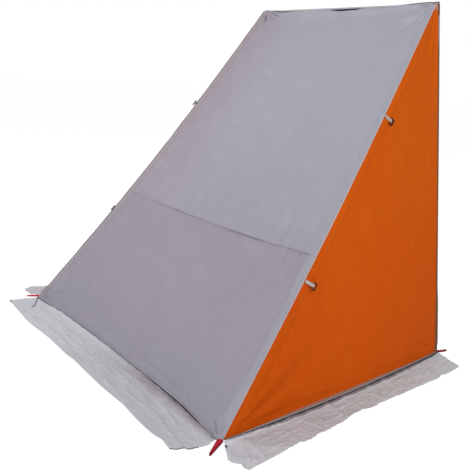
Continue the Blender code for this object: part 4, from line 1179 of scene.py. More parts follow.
def curve_through(points, count, roundness=0.6):
    """A curve through a few points, at even spacing, with slightly rounded corners."""
    points = np.asarray(points, float)
    spacing = np.linalg.norm(np.diff(points, axis=0), axis=1).sum() / (count * 4)
    fine = resampled(points, spacing)
    window = max(int(0.012 * roundness / spacing), 1)
    padded = np.concatenate([np.repeat(fine[:1], window, 0), fine, np.repeat(fine[-1:], window, 0)])
    kernel = np.ones(2 * window + 1) / (2 * window + 1)
    rounded = np.stack([np.convolve(axis, kernel, "valid") for axis in padded.T], 1)
    rounded[0] = points[0]
    rounded[-1] = points[-1]
    reach = path_reach(rounded)
    places = np.linspace(0, reach[-1], count)
    return np.stack([np.interp(places, reach, axis) for axis in rounded.T], 1)


# Outlines of the mud flaps on the ground, with the ragged ends of the photograph
FRONT_FLAP_OUTER = (
    (-1.024, -0.914), (-1.003, -0.925), (-0.95, -0.924), (-0.83, -0.934), (-0.664, -0.946),
    (-0.543, -0.945), (-0.443, -0.938), (-0.337, -0.935), (-0.225, -0.937), (-0.115, -0.941),
    (-0.025, -0.934), (0.078, -0.938), (0.177, -0.941), (0.268, -0.944), (0.351, -0.944), (0.427, -0.941),
    (0.503, -0.938), (0.588, -0.945), (0.67, -0.952), (0.74, -0.953), (0.80, -0.950), (0.855, -0.943),
    (0.926, -0.951),
)
FRONT_FLAP_END = (
    (0.993, -0.765), (1.000, -0.805), (0.984, -0.845), (0.975, -0.881), (0.948, -0.926), (0.926, -0.951),
)
FRONT_FLAP_START = (
    (-0.988, -0.765), (-1.000, -0.802), (-1.014, -0.860), (-1.024, -0.914),
)
RIGHT_FLAP_OUTER = (
    (1.214, -0.716), (1.210, -0.686), (1.209, -0.653), (1.206, -0.59), (1.203, -0.52), (1.197, -0.467),
    (1.192, -0.428), (1.203, -0.403), (1.207, -0.370), (1.202, -0.322), (1.201, -0.282), (1.204, -0.245),
    (1.199, -0.201), (1.193, -0.153), (1.182, -0.100), (1.178, -0.049), (1.180, -0.007), (1.187, 0.030),
    (1.190, 0.073), (1.186, 0.128), (1.188, 0.20), (1.192, 0.29), (1.190, 0.38), (1.195, 0.47),
    (1.197, 0.58), (1.192, 0.68), (1.190, 0.75), (1.180, 0.822),
)
LEFT_FLAP_OUTER = (
    (1.190, -0.717), (1.172, -0.670), (1.161, -0.623), (1.168, -0.570), (1.190, -0.45), (1.200, -0.335),
    (1.190, -0.22), (1.182, -0.105), (1.190, 0.03), (1.198, 0.12), (1.204, 0.20), (1.199, 0.32),
    (1.208, 0.48), (1.204, 0.64), (1.186, 0.818),
)
RIGHT_FLAP_FRONT = (
    (1.008, -0.727), (1.045, -0.751), (1.067, -0.764), (1.092, -0.778), (1.132, -0.803), (1.148, -0.797),
    (1.170, -0.781), (1.196, -0.776), (1.2235, -0.765), (1.211, -0.742), (1.214, -0.716),
)
LEFT_FLAP_FRONT = (
    (1.007, -0.718), (1.020, -0.737), (1.055, -0.764), (1.147, -0.766), (1.172, -0.757), (1.190, -0.717),
)
SIDE_FLAP_BACK = {
    "right": ((1.007, 0.862), (1.09, 0.846), (1.180, 0.822)),
    "left": ((1.007, 0.860), (1.09, 0.842), (1.186, 0.818)),
}
SIDE_FLAP_FRONT = {"right": RIGHT_FLAP_FRONT, "left": LEFT_FLAP_FRONT}
SIDE_FLAP_OUTER = {"right": RIGHT_FLAP_OUTER, "left": LEFT_FLAP_OUTER}
FLAP_CLOTH = 0.0012
FLAP_LIFT = 0.0004
STRIP_SHARES = np.array([0, 0.06, 0.35, 0.65, 0.94, 1])


def bend_with_flap(item):
    """Bakes the piece's transform into its mesh."""
    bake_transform(item)


def laid_on_ground(plan, relief, lift=0.0):
    """The top of a flap's cloth over a plan of points, lifted by its wrinkles."""
    height = FLAP_LIFT + FLAP_CLOTH + np.maximum(relief, 0) + lift
    return np.concatenate([plan, height[..., None]], -1)


def flap_piece(name, plan, relief, material, solid):
    """A mud flap: a thin sheet over a plan of points, lifted by its wrinkles."""
    outside = laid_on_ground(plan, relief)
    inside = outside - upward_normals(outside, UPWARDS) * FLAP_CLOTH
    inside[..., 2] = np.maximum(inside[..., 2], 0.0003)
    flap = piece(name, sheet_parts(outside, inside), material, None, (solid,))
    bend_with_flap(flap)


def front_flap_plan():
    """The front mud flap's grid on the ground, from the hem outwards."""
    inner = resampled(hem_line(260, 0.0065, 0)[:, :2], 0.0078)
    outer = curve_through(FRONT_FLAP_OUTER, len(inner), 0.3)
    start = curve_through((tuple(inner[0]), *FRONT_FLAP_START), 40, 0.3)
    end = curve_through((tuple(inner[-1]), *FRONT_FLAP_END), 40, 0.3)
    return coons(inner, outer, start, end)


# Wrinkles of the mud flaps, by place along the hem and distance out from it
FRONT_FLAP_WAVES = (
    (0.0040, 0.16, 91, 0.28), (0.0026, 0.085, 92, 0.35), (0.0014, 0.040, 93, 0.6), (0.0009, 0.018, 94, 0.5),
)
FRONT_FLAP_FOLDS = (
    ((-0.75, 0.085), (-0.20, 0.105), 0.008, 0.0040),
    ((-0.35, 0.135), (0.25, 0.150), 0.008, 0.0036),
    ((0.05, 0.100), (0.62, 0.120), 0.008, 0.0042),
    ((0.35, 0.165), (0.85, 0.140), 0.008, 0.0034),
    ((0.55, 0.085), (0.93, 0.110), 0.008, 0.0040),
    ((-0.55, 0.170), (-0.15, 0.185), 0.008, 0.0030),
)
SIDE_FLAP_FOLDS = (-0.52, -0.33, -0.12, 0.14, 0.37, 0.58, 0.72)


def front_flap_relief(plan):
    """Wrinkles of the front flap: a ridge along the hem that leaves it to the right, and long folds."""
    x = plan[..., 0]
    out = hem_y(x) - plan[..., 1]
    ridge = 0.030 + 0.034 * smooth(x, -0.15, 0.85)
    height = 0.0065 + 0.0045 * smooth(x, -0.3, 0.6)
    relief = height * hump(out, ridge * 0.62, ridge * 0.42) * smooth(out, 0.0, 0.010)
    relief = relief + waves(x, out, FRONT_FLAP_WAVES, lowest=0) + creased(x, out, FRONT_FLAP_FOLDS, ())
    edge = smooth(0.22 - out, 0.0, 0.02)
    tail = 1 - smooth(-0.74 - x, 0.0, 0.06) * smooth(out, 0.0, 0.01)
    return relief * (0.3 + 0.7 * edge) * tail


def side_flap_plan(name, side):
    """A side mud flap's grid on the ground, from the hem outwards, front end first."""
    front = SIDE_FLAP_FRONT[name]
    back = SIDE_FLAP_BACK[name]
    y = np.linspace(front[0][1], back[0][1], 220)
    inner = np.stack([BASE_HALF + 0.0095 + hem_bow(y), y], 1)
    outer = curve_through(SIDE_FLAP_OUTER[name], 220, 0.3)
    plan = coons(inner, outer, curve_through(front, 60, 0.15), curve_through(back, 60))
    plan[..., 0] *= side
    return plan


def side_flap_relief(plan, side):
    """Wrinkles of a side flap: a crumpled front end, folds across it and a lifted inner strip."""
    x = np.abs(plan[..., 0])
    y = plan[..., 1]
    out = x - BASE_HALF - hem_bow(y)
    relief = 0.0045 * hump(out, 0.022, 0.012) * smooth(out, 0.004, 0.012)
    rows = (
        (0.0050, 0.11, 101 + side, 0.8), (0.0036, 0.050, 111 + side, 0.7), (0.0017, 0.026, 115 + side, 0.9),
    )
    relief = relief + waves(out, y, rows, lowest=0)
    crumple = 1 - smooth(y, FRONT_Y - 0.02, FRONT_Y + 0.14)
    if side > 0:
        relief = relief + fold(plan[..., 0], y, (1.130, -0.690), (1.226, -0.768), 0.0065, 0.0085)
    rucks = np.maximum(ripples(0.64 * x + 0.77 * y, 0.77 * out - 0.64 * y, 0.034, 121, 7.0), 0)
    relief = relief + 0.0070 * crumple * rucks
    for number, place in enumerate(SIDE_FLAP_FOLDS):
        slant = 0.05 * (1 if number % 2 else -1)
        relief = relief + fold(out, y, (0.03, place), (0.20, place + slant), 0.009, 0.0042, spread=0.8)
    return relief * smooth(out, 0.009, 0.016) * (0.25 + 0.75 * smooth(0.205 - out, 0.0, 0.02))


def make_flap_shade_bands(name, side):
    """Two darker strips along a side flap's inner edge, painted shade beside the hem."""
    y = np.linspace(FRONT_Y + 0.02, BACK_Y - 0.03, 240)[:, None]
    narrow = smooth(y, FRONT_Y + 0.06, FRONT_Y + 0.36) * (1 - 0.7 * smooth(y, 0.45, BACK_Y - 0.03))
    reach = 0.0155 * narrow + 0.004 + 0.0008 * wander(y, 0.16, 141 + side)
    strips = (("band", 0.0, 0.70, 0.0013, FLAP_SHADE_BAND), ("edge", 0.62, 1.0, 0.0017, FLAP_SHADE_EDGE))
    for kind, first, last, lift, material in strips:
        shares = first + (last - first) * STRIP_SHARES[None, :]
        x = BASE_HALF + 0.0110 + hem_bow(y) + reach * shares
        plan = np.stack([side * x, np.broadcast_to(y, x.shape)], -1)
        outside = laid_on_ground(plan, side_flap_relief(plan, side), lift)
        title = f"flap_shade_{kind}_{name}"
        band = sheet_piece(title, outside, 0.0009, UPWARDS, material, None, "skirt_fabric")
        bend_with_flap(band)


def laid_strip(name, line, widths, lift, material):
    """A narrow strip of cloth along a line on the front flap, to one side of it."""
    along = ways_along(line)
    across = np.stack([along[:, 1], -along[:, 0]], 1)
    widths = np.broadcast_to(widths, len(line))
    plan = line[None] + across[None] * (widths[None, :, None] * STRIP_SHARES[:, None, None])
    outside = laid_on_ground(plan, front_flap_relief(plan), lift)
    strip = sheet_piece(name, outside, 0.0008, UPWARDS, material, None, "skirt_fabric")
    bend_with_flap(strip)


def tapered(count, width, roundness, least):
    """Widths along a strip that is narrow at both ends."""
    return width * np.sin(math.pi * np.linspace(0, 1, count)) ** roundness + least


def make_front_hem_strips():
    """Strips along the front hem where the flap is sewn: painted shade and highlight lines, painted shade
    along its folded right end, and its left tab.
    """
    x = np.linspace(0.34, 0.84, 140)
    # A dark strip beside the hem: painted shade
    line = np.stack([x, hem_y(x) - 0.0060], 1)
    laid_strip("front_hem_shade_strip", line, tapered(140, 0.0090, 0.6, 0.0006), 0.0016, HEM_SHADE_CLOTH)
    # A light line on the fold: a painted highlight
    x = np.linspace(0.28, 0.62, 120)
    line = np.stack([x, hem_y(x) - 0.0185], 1)
    laid_strip("front_hem_painted_highlight", line, tapered(120, 0.0042, 0.5, 0.0004), 0.0018, HEM_HIGHLIGHT)
    # A dark line along the second fold: painted shade
    x = np.linspace(0.33, 0.66, 120)
    line = np.stack([x, hem_y(x) - 0.0245 + 0.0012 * wander(x, 0.08, 163)], 1)
    laid_strip("front_hem_shadow_line", line, tapered(120, 0.0034, 0.5, 0.0004), 0.0014, SECOND_FOLD_SHADE)
    # A dark strip along the folded right end: painted shade
    line = curve_through(FRONT_FLAP_END[2:], 60, 0.3)[::-1] + np.array([-0.0012, 0.0008])
    laid_strip("front_flap_end_shade", line, 0.0050, 0.0012, HEM_SHADE_CLOTH)
    line = np.stack([np.linspace(-1.0215, -0.996, 20), np.linspace(-0.9045, -0.9155, 20)], 1)
    laid_strip("front_flap_end_tab", line, 0.0085, 0.0014, TAB_WEBBINGS["left"])


def make_mud_flaps():
    """The mud flaps with the strips laid on them, most of them painted shade and highlight."""
    plan = front_flap_plan()
    flap_piece("front_mud_flap", plan, front_flap_relief(plan), FRONT_FLAP_CLOTH, "skirt_front")
    make_front_hem_strips()
    for name, side in SIDES.items():
        make_flap_shade_bands(name, side)
        plan = side_flap_plan(name, side)
        relief = side_flap_relief(plan, side)
        flap_piece(f"side_mud_flap_{name}", plan, relief, SIDE_FLAP_CLOTH, f"skirt_{name}")


# Peg loops: angle from the right in degrees, length, half width where sewn, and height
PEG_LOOPS = {
    ("front", "left"): (-120, 0.080, 0.0085, 0.0070),
    ("back", "left"): (108, 0.068, 0.0058, 0.0095),
    ("front", "right"): (-60, 0.122, 0.0135, 0.0075),
    ("back", "right"): (72, 0.068, 0.0058, 0.0095),
}
LOOP_STEPS = 40


def peg_loop_path(length, wide):
    """A webbing loop seen from above: out along one side, round the tip and back."""
    tip = 0.0042
    out = np.linspace(0, 1, LOOP_STEPS)
    half = (tip + (wide - tip) * (1 - out) ** 0.9) * smooth(out, -0.03, 0.03)
    reach = 0.002 + (length - tip - 0.0035) * out
    turns = np.radians(np.linspace(90, -90, 13)[1:-1])
    arc = np.stack([reach[-1] + tip * np.cos(turns), tip * np.sin(turns)], 1)
    lower = np.stack([reach[::-1], -half[::-1]], 1)
    return np.concatenate([np.stack([reach, half], 1), arc, lower])


def make_peg_loops():
    """Red webbing doubled into loops, standing on edge, sewn at the corner."""
    for (end, name), (angle, length, wide, tall) in PEG_LOOPS.items():
        longest = (end, name) == ("front", "right")
        outward = np.array([math.cos(math.radians(angle)), math.sin(math.radians(angle)), 0])
        across = np.array([-outward[1], outward[0], 0])
        corner_y = FRONT_Y if end == "front" else BACK_Y
        start = np.array([SIDES[name] * BASE_HALF, corner_y, 0]) + outward * 0.0008
        if longest:
            start = start + np.array([-0.003, -0.008, 0])
        flat = peg_loop_path(length, wide)
        path = start + flat[:, :1] * outward + flat[:, 1:] * across
        path[:, 2] = tall / 2 + 0.0006
        body = f"peg_loop_{end}_{name}"
        # The front left loop is plain red; the others take the darker copy, painted shade
        material = RED_WEBBING if (end, name) == ("front", "left") else SHADED_RED_WEBBING
        loop = ribbon_parts(path, UPWARDS, np.cross(ways_along(path), UPWARDS), tall, 0.0017)
        piece(f"peg_webbing_{end}_{name}", loop, material, body, (body,))
        reach = np.linspace(-0.005 if longest else 0.004, length - 0.010, 24)
        middle = start + reach[:, None] * outward
        middle[:, 2] = tall - 0.0036 + 0.0020 * np.sin(math.pi * np.linspace(0, 1, 24)) ** 0.8
        widths = 2 * np.interp(reach, flat[:LOOP_STEPS, 0], flat[:LOOP_STEPS, 1]) - 0.0024
        tongue = ribbon_parts(middle, across, UPWARDS, np.maximum(widths, 0.003), 0.0018)
        piece(f"peg_webbing_tongue_{end}_{name}", tongue, RED_WEBBING, body)
        if longest:
            # A darker strip over the right of the tongue: painted shade
            inner = np.linspace(0.34, -0.12, 24)
            line = middle + across * (widths * (inner + 0.5) / 2)[:, None] + UPWARDS * 0.0010
            shade_strip = ribbon_parts(line, across, UPWARDS, widths * (0.5 - inner), 0.0010)
            piece("peg_webbing_shade_front_right", shade_strip, SHADED_RED_WEBBING, body)


# How far each guy tab stands out from its wall, in degrees, upper and lower
TAB_RISE = {"left": (78, 70), "right": (8, 28)}
RING_LIFT = {"left": 62, "right": 0}
TAB_SHARES = {"left": (0.324, 0.696), "right": (0.296, 0.681)}
TAB_LENGTH = 0.044
TAB_THICKNESS = 0.0024
STITCH_BOX = (
    (-0.0062, 0.004), (0.0062, 0.004), (0.0062, 0.026), (-0.0062, 0.026), (-0.0062, 0.004),
    (0.0062, 0.026),
)
RING_BAR = 0.0033
RING_EYE = RING_BAR + 0.0012


def tab_frame(side, share, rise):
    """Root of a guy tab, its ways down, across and out, and the ways that its ring hangs and faces."""
    along = unit(slope_surface(side, share + 0.01) - slope_surface(side, share - 0.01))
    outward = wall_outward(side)
    inward = np.cross(outward, along) * side
    lean = math.radians(rise)
    down = inward * math.cos(lean) + outward * math.sin(lean)
    out = outward * math.cos(lean) - inward * math.sin(lean)
    root = slope_surface(side, share) + EDGE_INWARD * np.array([side, 1, 1]) * (WALL_SETBACK + 0.004)
    root[0] = side * half_width(root[2])
    root = root + outward * (GAP + TAB_THICKNESS / 2 * math.cos(lean))
    return root, down, np.cross(down, out), out, inward, outward


def make_guy_points():
    """Webbing tabs doubled round black rings, with a box of stitches."""
    for name, side in SIDES.items():
        for level, share, rise in zip(("upper", "lower"), TAB_SHARES[name], TAB_RISE[name]):
            root, down, across, out, hanging, outward = tab_frame(side, share, rise)
            pivot = root + down * TAB_LENGTH
            turns = np.radians(np.linspace(-140, 140, 25))
            ring = pivot + (np.outer(np.cos(turns), down) + np.outer(np.sin(turns), out)) * RING_EYE
            strap = root + down * np.linspace(0.0, TAB_LENGTH - 0.007, 12)[:, None]
            doubled = np.concatenate([strap - out * 0.0006, ring, (strap + out * 0.0006)[::-1]])
            path = resampled(doubled, 0.0012)
            tab = ribbon_parts(path, across, np.cross(ways_along(path), across), 0.0165, 0.0010)
            solids = (f"guy_tab_{name}_{level}",)
            # The left side's webbing is the darker copy: painted shade
            piece(f"guy_webbing_{name}_{level}", tab, TAB_WEBBINGS[name], "canopy", solids)
            corners = [root + across * a + down * b + out * 0.0013 for a, b in STITCH_BOX]
            lines = zip(corners, corners[1:])
            box = joined([stitch_parts(line, out, 0.003, 0.0022, 0.0003) for line in lines])
            piece(f"guy_stitches_{name}_{level}", box, GREY_THREAD, "canopy")
            lift = math.radians(RING_LIFT[name])
            ring_way = hanging * math.cos(lift) + outward * math.sin(lift)
            make_guy_ring(f"{name}_{level}", pivot, ring_way, across)


def make_guy_ring(name, pivot, down, across):
    """A rectangular ring of round bar with rounded corners."""
    half = 0.017
    length = 0.020
    bend = 0.0050
    path = []
    for number, (a, b) in enumerate(((-half, 0), (half, 0), (half, length), (-half, length))):
        centre_a = a - math.copysign(bend, a)
        centre_b = b + (bend if b == 0 else -bend)
        for step in range(7):
            turn = math.radians(-180 + 90 * number + 15 * step)
            place = pivot + across * (centre_a + bend * math.cos(turn))
            path.append(place + down * (centre_b + bend * math.sin(turn)))
    solid = f"guy_ring_{name}"
    ring = tube_parts(path, RING_BAR, 14, closed=True)
    piece(f"guy_ring_bar_{name}", ring, BLACK_PLASTIC, solid, (solid,))


ZIP_SETBACK = 0.014
ZIP_TAPE_INNER = 0.0008
ZIP_TAPE_OUTER = 0.0119
ZIP_TOP = HEIGHT - 0.012
TOOTH_PITCH = 0.0032
TOOTH_HALF = np.array([0.0016, 0.00115, 0.00075])


def zip_line(side, setback, z):
    """Points up a back edge, a distance in from the side."""
    return np.stack([side * (half_width(z) - setback), np.full(len(z), ZIP_Y), z], 1)


def make_zips():
    """Zip tapes with their rows of teeth, one half on the wall and one on the flap."""
    for name, side in SIDES.items():
        for half, way, low, body in (("fixed", 1, 0.036, "canopy"), ("flap", -1, 0.092, "back_flap")):
            middle = ZIP_SETBACK - way * (ZIP_TAPE_INNER + ZIP_TAPE_OUTER) / 2
            path = zip_line(side, middle, np.linspace(low, ZIP_TOP, 90))
            tape = ribbon_parts(path, SIDEWAYS, BACKWARDS, ZIP_TAPE_OUTER - ZIP_TAPE_INNER, 0.0010)
            piece(f"zip_tape_{half}_{name}", tape, ZIP_TAPE, body, (f"zip_{half}_{name}",))
            piece(f"zip_teeth_{half}_{name}", teeth_parts(side, way, low), ZIP_PLASTIC, body)


def teeth_parts(side, way, low):
    """Moulded teeth along the edge of a zip tape, staggered between the two halves."""
    count = int((ZIP_TOP - low) / TOOTH_PITCH)
    z = low + (np.arange(count) + (0.75 if way > 0 else 0.25)) * TOOTH_PITCH
    centre = zip_line(side, ZIP_SETBACK - way * 0.0024, z)
    corners = np.array([(a, b, c) for a in (-1, 1) for b in (-1, 1) for c in (-1, 1)], float)
    corners[:, 2] *= np.where(corners[:, 0] * side * way < 0, 0.75, 1.0)
    points = (centre[:, None, :] + corners[None] * TOOTH_HALF).reshape(-1, 3)
    box = ((0, 1, 3, 2), (4, 6, 7, 5), (0, 4, 5, 1), (2, 3, 7, 6), (0, 2, 6, 4), (1, 5, 7, 3))
    faces = [tuple(start + corner for corner in face) for start in range(0, len(points), 8) for face in box]
    return points, faces


# Folds of the back flap, by distance across and height
FLAP_TOP_Z = 1.9477
FLAP_SETBACK = 0.0262
BACK_WAVES = ((0.0026, 0.45, 131, 2.5), (0.0011, 0.16, 132, 2.5))
BACK_FOLDS = (
    ((-0.62, 0.10), (-0.10, 1.20), 0.045, 0.0040),
    ((0.66, 0.12), (0.18, 1.05), 0.045, 0.0038),
    ((-0.25, 0.06), (0.30, 0.62), 0.040, 0.0034),
)
BACK_FANS = (
    ((-RIDGE_HALF, FLAP_TOP_Z), (-80, -66, -52, -38, -24, -12), 0.46, 0.008, 0.0042, 133),
    ((RIDGE_HALF, FLAP_TOP_Z), (-100, -114, -128, -142, -156, -168), 0.46, 0.008, 0.0042, 134),
)


def back_relief(x, z):
    """Folds of the back flap, out from its plane."""
    relief = 0.0032 + waves(x, z, BACK_WAVES) + creased(x, z, BACK_FOLDS, BACK_FANS)
    edge = half_width(z) - FLAP_SETBACK - np.abs(x)
    return relief * smooth(edge, 0.0, 0.03) * smooth(z, 0.045, 0.08) * smooth(FLAP_TOP_Z - z, 0.0, 0.02)


def make_back_flap():
    """The zipped back wall and the hem along its foot."""
    rows = FLAP_TOP_Z + (FLAP_FOOT_Z - FLAP_TOP_Z) * eased(110, 0.4)[:, None]
    x = (eased(130, 0.5) * 2 - 1)[None, :] * (half_width(rows) - FLAP_SETBACK)
    z = np.broadcast_to(rows, x.shape)
    outside = np.stack([x, ZIP_Y + FABRIC / 2 + back_relief(x, z), z], -1)
    flap = sheet_piece(
        "back_wall_flap", outside, FABRIC, BACKWARDS, BACK_CLOTH, "back_flap", "grey_fabric", ("back_flap",)
    )
    z = np.array([FLAP_FOOT_Z + 0.0002, 0.018, 0.026, 0.034, FLAP_FOOT_Z + 0.0298])[:, None]
    x = np.linspace(-1, 1, 90)[None, :] * (half_width(z) - FLAP_SETBACK - 0.0005)
    y = np.full(x.shape, ZIP_Y + FABRIC / 2 + GAP + 0.0011)
    outside = np.stack([x, y, np.broadcast_to(z, x.shape)], -1)
    hem = ("back_flap", "light_tape", ("back_hem",))
    sheet_piece("back_flap_hem", outside, 0.0011, BACKWARDS, LIGHT_TAPE, *hem)
    rows = []
    for height in (FLAP_FOOT_Z + 0.004, FLAP_FOOT_Z + 0.026):
        row = [(side * (half_width(0) - 0.03), ZIP_Y + 0.0022, height) for side in (-1, 1)]
        rows.append(stitch_parts(row, BACKWARDS))
    piece("back_hem_stitches", joined(rows), GREY_THREAD, "back_flap")


def hem_tape_top(y):
    """Height of a side hem tape, which narrows towards the front corner."""
    bowed = 0.0112 * hem_bow(y) / HEM_BOW * smooth(y, -0.70, -0.30)
    return 0.0034 + 0.0030 * smooth(y, -0.68, -0.50) + bowed


def make_wall_trims():
    """Tapes along the side hems, with their stitches."""
    low = 0.0006
    for name, side in SIDES.items():
        out = wall_outward(side)
        y = np.linspace(FRONT_Y + 0.016, BACK_Y - 0.0006, 220)[None, :]
        z = low + (hem_tape_top(y) - low) * np.array([0, 0.04, 0.35, 0.65, 0.96, 1])[:, None]
        outside = wall_points(side, np.broadcast_to(y, z.shape), z, GAP + 0.0012)
        tape = ("canopy", "light_tape", (f"hem_tape_{name}",))
        sheet_piece(f"side_hem_tape_{name}", outside, 0.0012, out, HEM_WEBBING, *tape)
        y = np.linspace(FRONT_Y + 0.020, BACK_Y - 0.003, 200)
        rows = [wall_points(side, y, share * hem_tape_top(y), GAP + 0.0013) for share in (0.45, 0.90)]
        stitches = joined([stitch_parts(row, out) for row in rows])
        piece(f"hem_stitches_{name}", stitches, GREY_THREAD, "canopy")


def make_binding_folds():
    """The back binding's turned fold widens towards the ground, where it turns in."""
    z = np.concatenate([np.linspace(0.012, 0.06, 14)[:-1], np.linspace(0.06, 1.55, 120)])[:, None]
    shares = STRIP_SHARES[None, :]
    proud = 0.0060 * smooth(z, 0.03, 0.07) * (1 - smooth(z, 0.28, 0.42))
    for name, side in SIDES.items():
        width = 0.0034 + 0.0200 * (1 - z / 1.6) ** 1.5 + 0.006 * (1 - smooth(z, 0.012, 0.06))
        width = width + 0.0006 * wander(z, 0.06, 151 + side)
        y = BACK_Y - 0.0004 + proud - (width + proud) * shares
        lift = GAP + 0.0014 + 0.0012 * np.sin(math.pi * shares)
        outside = wall_points(side, y, np.broadcast_to(z, y.shape), lift)
        out = wall_outward(side)
        sheet_piece(f"back_binding_fold_{name}", outside, 0.0009, out, BINDING_FOLD, "canopy", "grey_fabric")


def make_ties():
    """Straps doubled round their toggles, under the ridge."""
    toggle_z = FLAP_TOP_Z - 0.050
    half_gap = 0.0007
    eye = 0.0049
    for name, side in SIDES.items():
        x = side * 0.35
        turns = np.radians(np.linspace(60, -240, 25))
        ring = np.stack([x + 0 * turns, POLE_Y + eye * np.cos(turns), toggle_z + eye * np.sin(turns)], 1)
        z = np.linspace(HEIGHT - 0.0085, toggle_z + 0.008, 8)
        down = np.stack([np.full(8, x), np.full(8, POLE_Y + half_gap), z], 1)
        up = down[::-1] - BACKWARDS * 2 * half_gap
        path = resampled(np.concatenate([down, ring, up]), 0.0012)
        strap = ribbon_parts(path, SIDEWAYS, np.cross(ways_along(path), SIDEWAYS), 0.008, 0.0010)
        body = f"tie_{name}"
        material = TAB_WEBBINGS["right"]
        piece(f"tie_webbing_{name}", strap, material, body, (f"tie_strap_{name}",))
        shares = np.linspace(-1, 1, 25)
        path = np.stack([x + 0.019 * shares, np.full(25, POLE_Y), np.full(25, toggle_z)], 1)
        radii = 0.0040 * (1 - 0.16 * hump(shares, 0, 0.28)) * (1 - np.abs(shares) ** 14 * 0.5)
        toggle = tube_parts(path, radii, 20)
        piece(f"tie_toggle_bar_{name}", toggle, BLACK_PLASTIC, body, (f"tie_toggle_{name}",))


# Better finishes for the solids whose own shape is shown
SOLID_FINISHES = {
    "back_binding": BINDING, "zip_slider": BLACK_PLASTIC, "zip_puller": BLACK_PLASTIC, "pole_foot": RUBBER,
    "pole_top": STEEL, "pole_middle": STEEL, "pole_lower": STEEL, "shock_cord": ELASTIC,
}


def finish_nodes():
    """Gives those solids their finishes."""
    for kind, material in SOLID_FINISHES.items():
        for side in SIDES:
            for place in frame["nodes"][f"{kind}_{side}"].material_slots:
                place.material = material


# The drawcord's loose end, by the same points as its solid
TAIL_RADIUS = 0.0018
TAIL_Z = 0.002 + GAP + TAIL_RADIUS + 0.0004
TAIL_ROUTE = ((0.014, 0.010), (0.045, 0.033), (0.090, 0.058), (0.130, 0.084), (0.156, 0.102), (0.163, 0.116))
TAIL_POINTS = 34


def smooth_route(points, count):
    """Points on a smooth curve through the given ones."""
    ends = [points[0] * 2 - points[1], *points, points[-1] * 2 - points[-2]]
    spans = len(points) - 1
    route = []
    for step in range(count):
        place = min(step * spans / (count - 1), spans - 1e-9)
        span = int(place)
        t = place - span
        a, b, c, d = ends[span : span + 4]
        bends = (2 * a - 5 * b + 4 * c - d) * t**2 + (3 * b - a - 3 * c + d) * t**3
        route.append(0.5 * (2 * b + (c - a) * t + bends))
    return route


def make_drawcord_tail():
    """The loose end lies on the front flap."""
    corner = Vector((-BASE_HALF, FRONT_Y, TAIL_Z))
    route = smooth_route([corner + Vector((x, -y, 0)) for x, y in TAIL_ROUTE], TAIL_POINTS)
    curve = bpy.data.curves.new("drawcord_end", "CURVE")
    curve.dimensions = "3D"
    curve.bevel_depth = TAIL_RADIUS
    curve.bevel_resolution = 4
    curve.use_fill_caps = True
    line = curve.splines.new("POLY")
    line.points.add(len(route) - 1)
    for point, place in zip(line.points, route):
        point.co = (*place, 1)
    curve.materials.append(DARK_CORD)
    cord = bpy.data.objects.new("drawcord_end", curve)
    bpy.context.scene.collection.objects.link(cord)
    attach(cord, "skirt_front")
    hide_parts("drawcord_tail")


WORLD_LIGHT = 0.36


def seen_directly(net):
    """1 for the camera's own rays and those it sees through gloss or glass, 0 for light on the tent."""
    path = node(net, "LightPath").outputs
    seen = maths(net, "MAXIMUM", path["Is Camera Ray"], path["Is Glossy Ray"])
    return maths(net, "MAXIMUM", seen, path["Is Transmission Ray"])


def make_floor():
    """A plain white floor that still shows a faint shadow."""
    mesh = bpy.data.meshes.new("floor")
    reach = 40
    corners = [(-reach, -reach, 0), (reach, -reach, 0), (reach, reach, 0), (-reach, reach, 0)]
    mesh.from_pydata(corners, [], [(0, 1, 2, 3)])
    floor = bpy.data.objects.new("floor", mesh)
    bpy.context.scene.collection.objects.link(floor)
    material = bpy.data.materials.new("white_floor")
    material.use_nodes = True
    net = material.node_tree
    net.nodes.clear()
    matt = node(net, "BsdfDiffuse", {"Color": (0.92, 0.92, 0.92, 1)}).outputs["BSDF"]
    glow = node(net, "Emission", {"Strength": 1.12}).outputs["Emission"]
    mix = node(net, "MixShader", {"Fac": times(net, seen_directly(net), 0.84), 1: matt, 2: glow})
    node(net, "OutputMaterial", {"Surface": mix.outputs["Shader"]})
    mesh.materials.append(material)


def make_world():
    """White to the camera, and an even soft light to everything else."""
    world = bpy.data.worlds.new("studio")
    bpy.context.scene.world = world
    world.use_nodes = True
    net = world.node_tree
    net.nodes.clear()
    strength = times_plus(net, seen_directly(net), 1.0 - WORLD_LIGHT, WORLD_LIGHT)
    glow = node(net, "Background", {"Color": (1, 1, 1, 1), "Strength": strength})
    node(net, "OutputWorld", {"Surface": glow.outputs["Background"]})


def make_lamp(name, place, size, watts):
    """A square softbox turned to the middle of the tent."""
    light = bpy.data.lights.new(name, "AREA")
    light.shape = "RECTANGLE"
    light.size = size
    light.size_y = size
    light.energy = watts
    lamp = bpy.data.objects.new(name, light)
    lamp.location = place
    lamp.rotation_euler = (Vector((0, 0, 0.9)) - Vector(place)).to_track_quat("-Z", "Y").to_euler()
    bpy.context.scene.collection.objects.link(lamp)


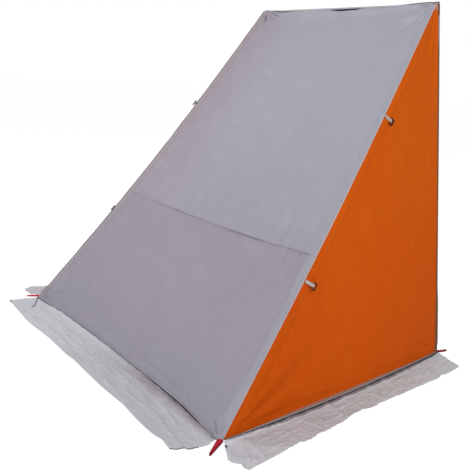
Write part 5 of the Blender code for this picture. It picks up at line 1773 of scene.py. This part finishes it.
def make_lights():
    """Four softboxes round the tent."""
    make_lamp("left_softbox", (-4.4, -2.6, 3.6), 1.8, 128)
    make_lamp("front_softbox", (1.8, -5.6, 4.2), 2.4, 98)
    make_lamp("side_softbox", (5.2, -1.2, 3.4), 2.0, 140)
    make_lamp("back_softbox", (-1.4, 6.0, 3.0), 2.4, 70)


def make_camera():
    """The camera of the photograph."""
    turn, pitch, roll = (math.radians(angle) for angle in (CAMERA_TURN, CAMERA_PITCH, CAMERA_ROLL))
    ahead = Vector((math.sin(turn) * math.cos(pitch), math.cos(turn) * math.cos(pitch), -math.sin(pitch)))
    right = Vector((math.cos(turn), -math.sin(turn), 0))
    down = ahead.cross(right)
    turned_right = right * math.cos(roll) + down * math.sin(roll)
    turned_down = down * math.cos(roll) - right * math.sin(roll)
    camera = bpy.data.objects.new("camera", bpy.data.cameras.new("camera"))
    axes = Matrix((turned_right, -turned_down, -ahead)).transposed().to_4x4()
    camera.matrix_world = Matrix.Translation(CAMERA_PLACE) @ axes
    camera.data.sensor_width = SENSOR_WIDTH
    camera.data.lens = FOCAL_PIXELS / FRAME_PIXELS * SENSOR_WIDTH
    bpy.context.scene.collection.objects.link(camera)
    bpy.context.scene.camera = camera


def write_sizes():
    """Brings the view layer up to date."""
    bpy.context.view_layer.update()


def main():
    """Clears what the frame does not need, then dresses the solids piece by piece."""
    kept = set(frame["nodes"].values()) | set(frame["bodies"].values())
    for item in list(bpy.data.objects):
        if item not in kept:
            bpy.data.objects.remove(item, do_unlink=True)
    bpy.context.scene.view_settings.view_transform = "Standard"
    make_camera()
    make_drawcord_tail()
    make_slope_panels()
    make_edge_tapes()
    make_edge_rolls()
    make_seam_stitches()
    make_corner_tacks()
    make_side_walls()
    make_ridge_strap()
    make_ridge_shade()
    make_ridge_end()
    make_eyelets()
    make_hem_cords()
    make_mud_flaps()
    make_peg_loops()
    make_guy_points()
    make_zips()
    make_back_flap()
    make_wall_trims()
    make_binding_folds()
    make_ties()
    finish_nodes()
    make_floor()
    make_world()
    make_lights()
    write_sizes()


main()
